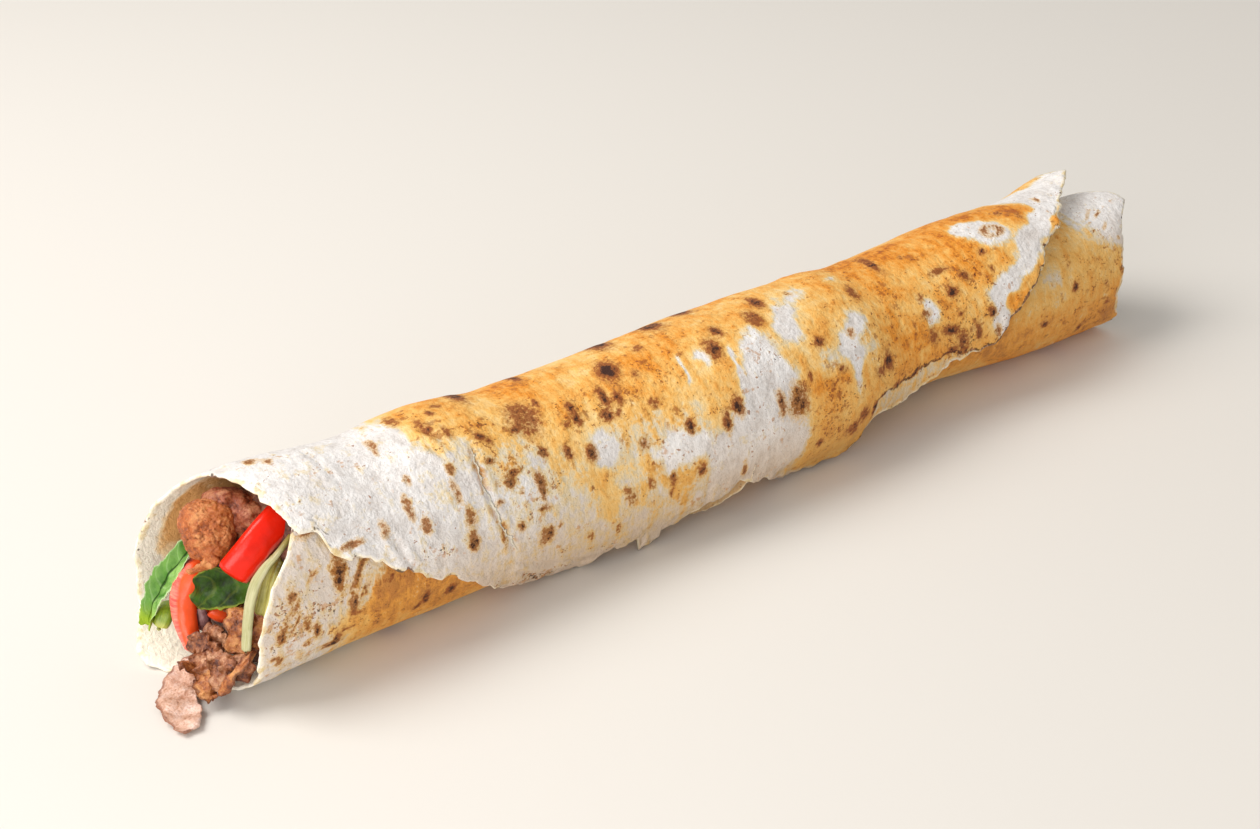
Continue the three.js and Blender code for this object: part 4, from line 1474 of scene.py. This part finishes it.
    def shape(self) -> Shape:
        """Builds the sheet with its marks.

        Returns:
            The closed shape.
        """
        u, v = self.grid()
        x, angle, inward, _ = self.sheet_place(u, v)
        rim = np.minimum(self.around(inward), self.ends(u))
        nowhere = np.full(x.shape, -1.0)
        wet = 2.3 * fade(np.abs(angle - 22), 62) + 1.1 * fade(np.abs(angle - 95), 50)
        wet = wet + 1.2 * fade(np.abs(angle + 262), 60)
        marks = {
            "gold": (self.gold(x, angle, inward), nowhere * 2.0),
            # Partly painted shade: darker gold under the flap and where it faces the ground.
            "deep": (self.deep(x, angle), nowhere * 0),
            # Painted shade: a warm tan where the sheet faces the ground.
            "low": (self.low(angle), nowhere * 0),
            "scorch": (self.scorch(x, angle), nowhere),
            "soot": (self.sooty(x, angle), nowhere * 0),
            "rim": (rim, rim),
            "juice": (nowhere, wet * smooth(rim, 3.4, 6.0) - 0.3),
            "inner": (nowhere + 1, nowhere + 2),
            "char": (self.char(x, inward), nowhere),
        }
        flat = np.stack([x, self.around(angle)], axis=-1) * METRE
        outer, inner = self.points(u, v, Face.OUTER), self.points(u, v, Face.INNER)
        return thin_solid(outer, inner, flat, marks, push=0.35)

    def lower_lip(self) -> Shape:
        """The crumpled second layer under the flap's free edge, where that edge is drawn up.

        It follows the roll at a radius of R(x) - 1.0 mm that grows by 3.6 w^2 towards its own free edge,
        with w from 0 under the flap to 1. That edge bows out as sin(pi u)^0.4 and is uneven by noise.

        Returns:
            The closed shape.
        """
        u, w = net(np.linspace(0, 1, 91), np.linspace(0, 1, 25))
        x = self.layer_start + self.layer_length * u
        uneven = 5 * cloud(np.stack([x, 0 * x, 0 * x], axis=-1), 5.0, 73)
        edge = self.layer_root + (self.layer_reach + uneven) * np.sin(np.pi * u) ** 0.4
        angle = self.layer_root + (edge - self.layer_root) * w
        wave = 0.9 * cloud(self.wrapped(x, angle), 4.0, 71, 2)
        radius = follow(self.roll, x) - 1.0 + 3.6 * w * w + wave * w
        turn = np.radians(angle)
        out = np.stack([0 * x, np.cos(turn), np.sin(turn)], axis=-1)
        middle = np.stack([x, 0 * x, self.axis_height(x)], axis=-1) + out * radius[..., None]
        half = out * (0.5 - 0.2 * w[..., None])
        # `low` at 1.6 paints the layer's shade under the flap in a warm tan.
        even = {"gold": -0.5, "deep": 0, "low": 1.6, "scorch": -1.4, "soot": 0.6}
        even |= {"juice": -1, "inner": 0, "char": -1}
        marks = {name: np.full(x.shape, float(value)) for name, value in even.items()}
        marks["rim"] = self.around(edge - angle)
        flat = np.stack([x, self.around(angle)], axis=-1) * METRE
        pairs = {name: (mark, mark) for name, mark in marks.items()}
        return thin_solid(middle + half, middle - half, flat, pairs)

    def build(self) -> None:
        """Makes the sheet's pieces and dresses them."""
        bread = BreadFinish().material()
        dress(self.shape(), "flatbread_sheet", bread, "flatbread")
        dress(self.lower_lip(), "flatbread_lower_lip", bread, "flatbread")


# ---------------------------------------------------------------------------------------------
# Filling
# ---------------------------------------------------------------------------------------------


def rounded(u: Array, power: float = 4.0, start: float = 0.0) -> Array:
    """A width that is full in the middle and closes at both ends: (1 - |2u - 1|^p)^(1/p)."""
    return start + (1 - start) * (1 - np.clip(np.abs(2 * u - 1), 0, 1) ** power) ** (1 / power)


@dataclass
class Peppers:
    """Strips of sweet red pepper: one across the mouth, one bent at the left, and a cut end."""

    upper: Strip = Strip(
        path=(
            (-172.3, -8.5, 37.3), (-167.4, -9.6, 42.1), (-162.6, -9.5, 45.8), (-156.9, -8.0, 48.3),
            (-149.7, -4.5, 50)),
        across=(-0.6, 0.36, 0.72), width=8.2, thickness=2.9, bulge=lambda u, v: 0.5 * (1 - (2 * v - 1) ** 2),
        thinning=0.25, rough=0.1, seed=2)
    lower: Strip = Strip(
        path=(
            (-172.6, 13.9, 29.2), (-178.1, 10.2, 29.8), (-182.1, 9.1, 25.5), (-183.9, 7.8, 20.0),
            (-184.5, 5.4, 15.2), (-184.3, 2.7, 10.6)),
        across=(5.2, -8.4, 2.6), width=8.2, thickness=3.4,
        bulge=lambda u, v: 1.5 * (1 - np.abs(2 * v - 1) ** 1.5),
        taper=lambda u: 0.72 + 0.3 * np.sin(np.pi * np.clip(u * 1.1, 0, 1)), rough=0.14, seed=3)
    end: Strip = Strip(
        path=((-178.0, 0.9, 22.0), (-176.2, -0.4, 20.0), (-174.6, -0.4, 18.4)), across=(0.4, -0.6, 0.7),
        width=4.6, thickness=3.4, grid=(40, 26), taper=lambda u: rounded(u, 3.0, 0.2),
        bulge=lambda u, v: 0.6 * (1 - (2 * v - 1) ** 2), rough=0.1, seed=4)

    def build(self) -> None:
        """Makes the strips and dresses them."""
        red = PepperFinish("pepper_skin", tint(244, 34, 8), tint(242, 84, 70), tint(250, 150, 130), 0.12, 0.1)
        bent = PepperFinish(
            "pepper_bent", tint(250, 88, 34), tint(228, 74, 72), tint(252, 154, 132), 0.62, 0.14,
            lines=(1300.0, 150.0))
        bit = PepperFinish("pepper_bit", tint(246, 84, 36), tint(214, 46, 24), tint(246, 120, 76), 0.2)
        dress(self.upper.shape(), "pepper_strip_upper", red.material(), "pepper_upper")
        dress(self.lower.shape(), "pepper_strip_lower", bent.material(), "pepper_lower")
        dress(self.end.shape(), "pepper_cut_end", bit.material(), "pepper_end")


@dataclass
class Leaves:
    """A light leaf folded down its middle with its stalk, and a dark leaf that faces out."""

    folded: Strip = Strip(
        path=(
            (-174.8, 15.6, 35.0), (-179.3, 14.5, 31.7), (-183.4, 15.5, 27.3), (-187.2, 16.8, 21.8),
            (-190.0, 17.1, 16.9), (-191.6, 16.8, 12.6)),
        across=(1.4, -6.1, -0.6), width=9.0, thickness=0.7, grid=(90, 44),
        bulge=lambda u, v: (
            2.0 * np.abs(2 * v - 1) + 0.3 * np.sin(u * 15 + v * 5) + 0.25 * np.sin(u * 33 - v * 9)),
        taper=lambda u: 0.55 + 0.45 * np.sin(np.pi * np.minimum(u * 1.1, 1)), rough=0.25, ragged=0.8, seed=5)
    dark: Strip = Strip(
        path=((-180.6, 5.6, 26.0), (-177.2, -0.5, 29.2), (-173.7, -4.4, 30.6), (-168.1, -8.6, 30.0)),
        across=(2.7, 4.5, 8.1), width=11.5, thickness=0.7, grid=(70, 50),
        bulge=lambda u, v: (
            0.9 * np.sin(u * 5 + v * 3) + 0.6 * np.sin(v * 8 - u * 3) + 0.2 * np.sin(u * 17 + v * 7)),
        taper=lambda u: rounded(u, 2.4, 0.3), rough=0.35, rough_size=3.0, ragged=0.8, ragged_size=1.8, seed=6)
    stalk: Strip = Strip(
        path=((-189.6, 14.6, 12.4), (-187.4, 15.0, 15.6), (-184.4, 17.0, 17.6)), across=(0.8, -0.6, 0),
        width=4.4, thickness=2.4, grid=(36, 22), taper=lambda u: rounded(u, 3.0, 0.3), rough=0.2, seed=7)

    def build(self) -> None:
        """Makes the leaves and dresses them."""
        light = LeafFinish(
            "leaf_light", tint(140, 180, 92), tint(66, 118, 36), tint(206, 226, 176), tint(152, 178, 40), 1.0)
        deep = LeafFinish(
            "leaf_dark", tint(48, 80, 2), tint(9, 25, 0), tint(150, 160, 50), tint(70, 104, 24), 0.0, 300)
        stalk = ShredFinish("leaf_stalk", tint(162, 190, 52), tint(104, 140, 34), tint(196, 206, 96))
        dress(self.folded.shape(), "leaf_folded_blade", light.material(), "leaf_folded")
        dress(self.dark.shape(), "leaf_dark_blade", deep.material(), "leaf_dark")
        dress(self.stalk.shape(), "leaf_stalk_end", stalk.material(), "leaf_stalk")


@dataclass
class Shreds:
    """Shreds of white cabbage and a bit of onion."""

    hanging: Strip = Strip(
        path=(
            (-156.5, -14.0, 46.0), (-162.5, -16.3, 43.1), (-166.1, -15.9, 40.3), (-169.6, -15.5, 35.8),
            (-172.1, -15.6, 30.2), (-174.1, -16.4, 24.5), (-176.6, -18.6, 17.9)),
        across=(1, -2, 0.6), width=2.9, thickness=1.4, grid=(110, 16),
        taper=lambda u: (0.45 + 0.7 * np.minimum(u * 2.2, 1)) * rounded(0.5 + u / 2, 14.0, 0.3), rough=0.1,
        seed=8)
    broad: Strip = Strip(
        path=((-161.5, -14.0, 40.6), (-164.5, -14.8, 36.6), (-167.0, -15.7, 31.5), (-169.2, -16.1, 26.0)),
        across=(1, -2.2, 0.3), width=5.2, thickness=1.3, grid=(50, 24),
        bulge=lambda u, v: 0.5 * np.sin(v * 9), rough=0.15, ragged=0.3, seed=9)
    onion: Strip = Strip(
        path=((-180.4, 6.0, 20.0), (-180.2, 4.4, 17.4), (-180.0, 3.6, 14.0)), across=(0.8, -0.6, 0),
        width=4.6, thickness=2.6, grid=(36, 26), taper=lambda u: rounded(u, 3.0, 0.3), rough=0.5,
        rough_size=1.6, ragged=0.4, seed=10)

    def build(self) -> None:
        """Makes the shreds and dresses them."""
        pale = ShredFinish("cabbage_pale", tint(190, 186, 144), tint(154, 152, 98), tint(140, 126, 52))
        yellow = ShredFinish("cabbage_yellow", tint(204, 196, 110), tint(142, 138, 52), tint(110, 98, 30))
        pink = ShredFinish("onion", tint(160, 116, 112), tint(92, 54, 56), tint(176, 136, 132))
        dress(self.hanging.shape(), "cabbage_shred_hanging", pale.material(), "cabbage_shred")
        dress(self.broad.shape(), "cabbage_shred_broad", yellow.material(), "shred_broad")
        dress(self.onion.shape(), "onion_piece", pink.material(), "onion_bit")


@dataclass(frozen=True)
class Shaving:
    """One shaved slice of the heap: its path, width, the side it is spread to, and its frill."""

    width: float
    wave: float
    path: tuple[Point, ...]
    across: Point = (0.82, -0.57, -0.04)
    frill: float = 0.8
    thickness: float = 1.1

    def shape(self) -> Shape:
        """A thin wavy strip whose frill grows towards both long edges as 0.25 + w^2.

        Returns:
            The closed shape.
        """

        def lift(u: Array, v: Array) -> Array:
            """How far the slice is lifted: a slow wave in the middle and a quick one at the edges.

            Args:
                u: Share passed along it.
                v: Share passed across it.

            Returns:
                Millimetres.
            """
            w = 2 * v - 1
            ruffle = np.sin(u * 13 + 2.5 * v + self.wave) + 0.6 * np.sin(u * 29 - 3 * v + 2 * self.wave)
            return 0.8 * np.sin(u * 5 + self.wave) * (1 - w * w) + self.frill * (0.25 + w * w) * ruffle

        def taper(u: Array) -> Array:
            """How wide the slice is along its path, as a share."""
            return rounded(u, 3.0, 0.35) * (1 + 0.14 * np.sin(u * 15 + self.wave))

        return Strip(
            self.path, self.across, self.width, self.thickness, (64, 34), lift, taper, rough=0.4,
            rough_size=1.5, ragged=1.0, ragged_size=1.7, thinning=0.6, seed=40 + int(self.wave)).shape()


def meat_tube(rings: Array, ends: Array, passed: Array, turn: Array, cranny: Array) -> Shape:
    """A closed tube of meat with its marks; its flat place is (passed, turn) in hundredths.

    Args:
        rings: Points, stations by sides by three.
        ends: The two end points.
        passed: Share passed along the tube at each ring point.
        turn: Angle round it in radians.
        cranny: 1 in the bottom of its pits, where shade is painted.

    Returns:
        The closed shape, far from any cut rim.
    """
    marks = {"rim": 5 + 0 * passed, "passed": passed, "share": turn / 6.3, "cranny": cranny}
    return closed_tube(rings, ends, np.stack([passed, turn], axis=-1) * 0.01, marks)


@dataclass
class Meat:
    """The meat: a round lump with a fatty one behind, a heap of shaved slices, and one slid out."""

    lump_middle: Point = (-172.6, 6.2, 43.6)
    lump_half: Point = (8.0, 7.0, 9.0)
    lump_axes: tuple[Point, ...] = ((0.82, -0.57, -0.04), (0.47, 0.72, -0.51), (0.32, 0.4, 0.86))
    lump_power: float = 2.5
    lump_square: float = 0.86
    lump_lean: float = 0.16
    lump_foot: float = 9.2
    fatty_path: tuple[Point, ...] = (
        (-171.0, 13.0, 46.0), (-167.0, 10.2, 47.8), (-162.6, 5.6, 46.2), (-158, 1.4, 42.6), (-152, -0.5, 40))
    fatty_radius: float = 6.0
    core_inset: float = 5.9
    core_gap: float = 0.3
    core_slant: tuple[float, float] = (-0.27, 0.36)
    core_ends: tuple[float, float] = (-170.0, 150.0)
    fallen: Strip = Strip(
        path=(
            (-183.4, 0.6, 6.2), (-187.2, 0.9, 3.6), (-191.2, -2.0, 2.6), (-194.9, -6.8, 2.0),
            (-195.9, -12.0, 1.8), (-196.4, -16.6, 1.6), (-196.6, -21.0, 1.5)),
        across=(4.7, -3.4, 0), width=11.6, thickness=1.2, grid=(100, 50),
        bulge=lambda u, v: (
            0.35 * np.sin(u * 11 + v * 5) + 0.3 * (2 * v - 1) ** 2 + 0.2 * np.sin(u * 27 - v * 6)),
        taper=lambda u: (0.5 + 0.5 * np.minimum(u * 3, 1)) * rounded(u * 0.5 + 0.5, 2.6, 0.25), rough=0.3,
        ragged=1.0, ragged_size=2.6, seed=11)
    stub: Strip = Strip(
        path=((-174.7, -1.0, 39.6), (-177.6, 0.2, 37.0), (-180.6, 6.0, 32.7)), across=(0.82, -0.57, -0.04),
        width=3.4, thickness=1.4, grid=(36, 16), taper=lambda u: 1.1 - 0.6 * u, rough=0.4, rough_size=1.4,
        ragged=0.6, seed=12)
    soft_rows: tuple[Shaving, ...] = (
        Shaving(
            6.5, 2, ((-186.0, 0.8, 12.2), (-184.6, -3.9, 14.8), (-182.8, -6.7, 14.3), (-181.4, -9.9, 13.1)),
            (0.1, 0.3, 0.95), 0.9),
        Shaving(
            5.0, 3,
            ((-182.7, -8.0, 15.0), (-183.8, -12.6, 13.6), (-184.6, -15.6, 10.8), (-185.2, -16.4, 6.4)),
            frill=0.7),
        Shaving(6.5, 5, ((-177.4, -14.5, 16.2), (-177.9, -18.1, 13.7), (-179.7, -18.8, 9.0)), frill=0.6),
        Shaving(7.0, 6, ((-185.0, -4.8, 13.1), (-185.4, -8.6, 11.3), (-185.5, -11.6, 8.0)), frill=0.9),
        Shaving(
            6.0, 7, ((-181.2, -0.4, 15.6), (-180.1, -5.1, 16.4), (-178.5, -9.5, 15.6)), (0.2, 0.4, 0.9), 0.8),
        Shaving(4.4, 8, ((-180.9, -14.0, 15.7), (-182.2, -17.2, 13.8), (-184.0, -18.0, 9.0)), frill=0.6),
        Shaving(8.0, 12, ((-172, 2, 9), (-180, 0.6, 9.5), (-186, -3.0, 7.0)), (0.1, -0.9, 0.4), 0.8),
        Shaving(13.0, 13, ((128, -5, 15), (148, -6, 17), (157, -8, 13)), (-0.35, 0.9, -0.25), 0.9))
    crisp_rows: tuple[Shaving, ...] = (
        Shaving(
            7.6, 1,
            ((-172.0, -5.0, 23.0), (-174.4, -10.6, 24.2), (-176.1, -14.4, 21.0), (-178.4, -14.8, 15.6)),
            frill=0.45, thickness=1.3),
        Shaving(
            6.6, 9, ((-189.1, -0.8, 9.0), (-187.8, -6.1, 10.8), (-187.0, -10.3, 9.0), (-187.2, -14.0, 5.0)),
            frill=1.0),
        Shaving(
            3.2, 4,
            ((-174.8, -20.0, 18.5), (-178.2, -21.0, 16.4), (-182.0, -20.6, 13.0), (-186.0, -18.6, 7.4)),
            (0.5, -0.7, 0.5), 0.35, 1.4),
        Shaving(6.4, 10, ((-168.6, -11.0, 24.4), (-171.0, -15.5, 21.6), (-174.0, -16.8, 16.5)), frill=0.7),
        Shaving(4.6, 11, ((-187.4, -8.6, 6.6), (-188.2, -12.4, 6.6), (-187.6, -16.0, 4.0)), frill=0.9),
        Shaving(12.0, 14, ((128, 6, 27), (149, 6, 29), (156, 4, 33)), (-0.35, 0.9, -0.25), 0.9))

    def lump(self) -> Shape:
        """A superellipsoid of meat: its skin is moved out by lumps and in by crannies of noise.

        With t from -1 at its foot to 1 at its top, its girth is (1 - |t|^p)^(1/p) (1 + lean t), and its
        section is a circle whose sines and cosines are raised to a power just below 1.

        Returns:
            The closed shape.
        """
        t, turn = net(-np.cos(np.linspace(0, np.pi, 112)[1:-1]), once_round(144))
        across, deep, tall = np.array(self.lump_axes)
        wide, thick, high = self.lump_half
        girth = (1 - np.abs(t) ** self.lump_power) ** (1 / self.lump_power) * (1 + self.lump_lean * t)
        section = np.stack([np.cos(turn), np.sin(turn)], axis=-1)
        section = np.sign(section) * np.abs(section) ** self.lump_square * girth[..., None]
        side = across * (section[..., :1] * wide) + deep * (section[..., 1:] * thick)
        place = side + tall * (t * high)[..., None]
        # Crannies: pushed in, and marked for painted shade.
        cranny = fade(np.abs(cloud(place, 3.4, 24)), 0.12) * smooth(cloud(place, 5.0, 25), 0.0, 0.4)
        bumps = 0.8 * cloud(place, 5.0, 21, 2) + 0.5 * cloud(place, 1.7, 22, 2)
        bumps = bumps + 0.3 * cloud(place, 0.7, 23, 2)
        middle = np.array(self.lump_middle)
        rings = place + unit(place) * (bumps - 0.5 * cranny)[..., None] + middle
        ends = np.stack([middle - tall * self.lump_foot, middle + tall * high])
        return meat_tube(rings, ends, t, turn, cranny)

    def fatty(self) -> Shape:
        """The duller lump behind: a lumpy tube along a path.

        Returns:
            The closed shape.
        """
        u, turn = net((1 - np.cos(np.linspace(0, np.pi, 80)[1:-1])) / 2, once_round(72))
        path = Path(self.fatty_path)
        along = path.along(u)
        first = unit(np.cross(UP, along))
        out = first * np.cos(turn)[..., None] + np.cross(along, first) * np.sin(turn)[..., None]
        place = path.at(u) + out * self.fatty_radius
        # Crannies: pushed in, and marked for painted shade.
        cranny = fade(np.abs(cloud(place, 4.4, 27)), 0.1) * smooth(cloud(place, 5.0, 25), -0.2, 0.3)
        reach = self.fatty_radius * rounded(u, 2.6) + 1.2 * cloud(place, 4.0, 28, 2)
        reach = np.maximum(reach + 0.5 * cloud(place, 1.5, 29) - 0.6 * cranny, 0.1)
        return meat_tube(path.at(u) + out * reach[..., None], path.at(np.array([0.0, 1.0])), u, turn, cranny)

    def core(self, bread: Flatbread) -> Shape:
        """The filling inside the roll: an uneven tube that leans with the mouth.

        Args:
            bread: The roll round it.

        Returns:
            The closed shape.
        """
        u, turn = net(np.linspace(0, 1, 182)[1:-1], once_round(72))
        front, back = self.core_ends
        x = front + (back - front) * u
        closing = np.minimum(1, np.minimum((u * 60) ** 0.3, ((1 - u) * 60) ** 0.3))
        place = np.stack([x, 20 * np.cos(turn), 20 * np.sin(turn)], axis=-1)
        rough = np.minimum(0.0, 1.4 * cloud(place, 7.0, 33))
        reach = (follow(bread.roll, x) - self.core_inset - self.core_gap + rough) * closing
        y = follow(bread.tail_shift, x) + reach * np.cos(turn)
        z = bread.axis_height(x) + reach * np.sin(turn)
        lean = self.core_slant[0] * y + self.core_slant[1] * (z - bread.axis_height(x))
        lumps = 2.2 * cloud(np.stack([x, y, z], axis=-1), 5.0, 35) * fade(x - front, 30)
        rings = np.stack([x + lean * fade(x - front, 60) + lumps, y, z], axis=-1)
        ends = np.stack([rings[0].mean(axis=0), rings[-1].mean(axis=0)])
        # The deepest hollows between the lumps are marked for painted shade.
        return meat_tube(rings, ends, u, turn, fade(lumps + 1.2, 1.2))

    def build(self, bread: Flatbread) -> None:
        """Makes the meat's pieces and dresses them.

        Args:
            bread: The roll round the core.
        """
        browned = MeatFinish(
            "meat_browned", tint(140, 68, 26), tint(190, 102, 44), tint(220, 148, 88), tint(140, 66, 26),
            0.0, 0.0, 0.4, 0.9)
        fatty = MeatFinish(
            "meat_fatty", tint(92, 34, 12), tint(150, 70, 34), tint(198, 134, 96), tint(96, 40, 26), 0.0, 0.0)
        soft = MeatFinish(
            "meat_soft", tint(84, 34, 16), tint(158, 94, 56), tint(216, 164, 126), tint(116, 56, 24), 0.6,
            gloss=0.36)
        crisp = MeatFinish(
            "meat_crisp", tint(84, 34, 12), tint(166, 92, 42), tint(220, 156, 92), tint(96, 42, 14), 0.7,
            gloss=0.38)
        # The core's dark colours are partly painted shade: the dark gaps between the pieces at the mouth.
        inside = MeatFinish(
            "meat_inside_painted_shade", tint(48, 20, 12), tint(100, 52, 34), tint(150, 98, 72), tint(60, 26, 18), 0.0, 0.0)
        slid = MeatFinish(
            "meat_slid", tint(178, 122, 92), tint(216, 172, 148), tint(234, 202, 188), tint(128, 66, 30), 0.8,
            0.3, 0.34, 0.3)
        ball = self.lump().joined(self.stub.shape())
        soft_heap = functools.reduce(Shape.joined, [row.shape() for row in self.soft_rows])
        crisp_heap = functools.reduce(Shape.joined, [row.shape() for row in self.crisp_rows])
        dress(ball, "meat_ball_lump", browned.material(), "meat_ball")
        dress(self.fatty(), "meat_fatty_lump", fatty.material(), "meat_ball")
        dress(self.core(bread), "meat_core", inside.material(), "shaved_meat")
        dress(soft_heap, "meat_slices_soft", soft.material(), "shaved_meat")
        dress(crisp_heap, "meat_slices_crisp", crisp.material(), "shaved_meat")
        dress(self.fallen.shape(), "meat_slice_slid_out", slid.material(), "fallen_slice")


def dress(shape: Shape, name: str, material: bpy.types.Material, node: str) -> None:
    """Makes a piece, gives it its material, and ties it to the frame.

    Args:
        shape: The piece's shape.
        name: The piece's name.
        material: Its material.
        node: The CAD node it stands for.
    """
    piece = shape.make(name)
    piece.data.materials.append(material)
    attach(piece, "root")
    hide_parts(node)
    LOG.info("%s: %d points, %d faces", name, len(shape.points), len(piece.data.polygons))


# ---------------------------------------------------------------------------------------------
# Studio
# ---------------------------------------------------------------------------------------------


@dataclass(frozen=True)
class Lamp:
    """One square soft light that faces a place on the roll, in metres in the part's frame."""

    name: str
    place: Point
    size: float
    power: float
    colour: Colour
    aim: Point = (0, 0, 0)

    def build(self) -> None:
        """Adds the light to the scene."""
        data = bpy.data.lights.new(self.name, "AREA")
        data.size, data.energy, data.color = self.size, self.power, self.colour
        lamp = bpy.data.objects.new(self.name, data)
        away = unit(np.array(self.place) - np.array(self.aim))
        side = unit(np.cross(UP, away))
        turned = Matrix(np.column_stack([side, np.cross(away, side), away]).tolist())
        lamp.matrix_world = Matrix.Translation(self.place) @ turned.to_4x4()
        bpy.context.scene.collection.objects.link(lamp)


@dataclass(frozen=True)
class Studio:
    """A pale floor, soft light from the upper left, and the camera.

    The camera's place is in the drawing frame. Its lens is 1850 / 1260 as long as its sensor is wide.
    """

    camera_place: Point = (-311.75, -424.82, 335.0)
    right: Point = (0.822, -0.56818, -0.03862)
    down: Point = (-0.31794, -0.40159, -0.85886)
    forward: Point = (0.47248, 0.71826, -0.51076)
    sensor: float = 36.0
    lens: float = 36.0 * 1850.0 / 1260.0
    floor_half: float = 2.0
    floor_tint: Colour = tint(226, 221, 214)
    sky: Colour = (1.0, 0.99, 0.97)
    sky_power: float = 0.5
    lamps: tuple[Lamp, ...] = (
        Lamp("key", (-0.75, 0.45, 1.15), 0.9, 17.0, (1.0, 0.98, 0.95)),
        Lamp("fill", (-1.3, -0.75, 0.55), 1.3, 8.0, (0.98, 0.98, 1.0)),
        Lamp("mouth", (-0.52, -0.3, 0.1), 0.22, 0.6, (1.0, 0.97, 0.93), (-0.18, 0.0, 0.03)))

    def build(self) -> None:
        """Sets the floor, the lights, the world and the camera."""
        self.lay_floor()
        for lamp in self.lamps:
            lamp.build()
        world = bpy.data.worlds.new("studio")
        world.use_nodes = True
        background = world.node_tree.nodes["Background"]
        background.inputs["Color"].default_value = (*self.sky, 1.0)
        background.inputs["Strength"].default_value = self.sky_power
        bpy.context.scene.world = world
        bpy.context.scene.view_settings.view_transform = "Standard"
        self.set_camera()

    def lay_floor(self) -> None:
        """Lays the floor."""
        half = self.floor_half
        mesh = bpy.data.meshes.new("floor")
        corners = [(-half, -half, 0.0), (half, -half, 0.0), (half, half, 0.0), (-half, half, 0.0)]
        mesh.from_pydata(corners, [], [(0, 1, 2, 3)])
        mesh.materials.append(Graph("floor").finish(self.floor_tint, 0.9, None, Specular_IOR_Level=0.2))
        floor = bpy.data.objects.new("floor", mesh)
        bpy.context.scene.collection.objects.link(floor)

    def set_camera(self) -> None:
        """Sets the camera, with its axes as right, up and backwards."""
        data = bpy.data.cameras.new("camera")
        data.lens, data.sensor_width = self.lens, self.sensor
        camera = bpy.data.objects.new("camera", data)
        axes = np.column_stack([self.right, -np.array(self.down), -np.array(self.forward)])
        place = (np.array(self.camera_place) - MIDDLE) * METRE
        camera.matrix_world = Matrix.Translation(place.tolist()) @ Matrix(axes.tolist()).to_4x4()
        bpy.context.scene.collection.objects.link(camera)
        bpy.context.scene.camera = camera


def main() -> None:
    """Builds the wrap and its studio."""
    logging.basicConfig(level=logging.INFO, format="%(name)s: %(message)s")
    bread = Flatbread()
    bread.build()
    Meat().build(bread)
    Peppers().build()
    Leaves().build()
    Shreds().build()
    Studio().build()


if __name__ == "__main__":
    main()
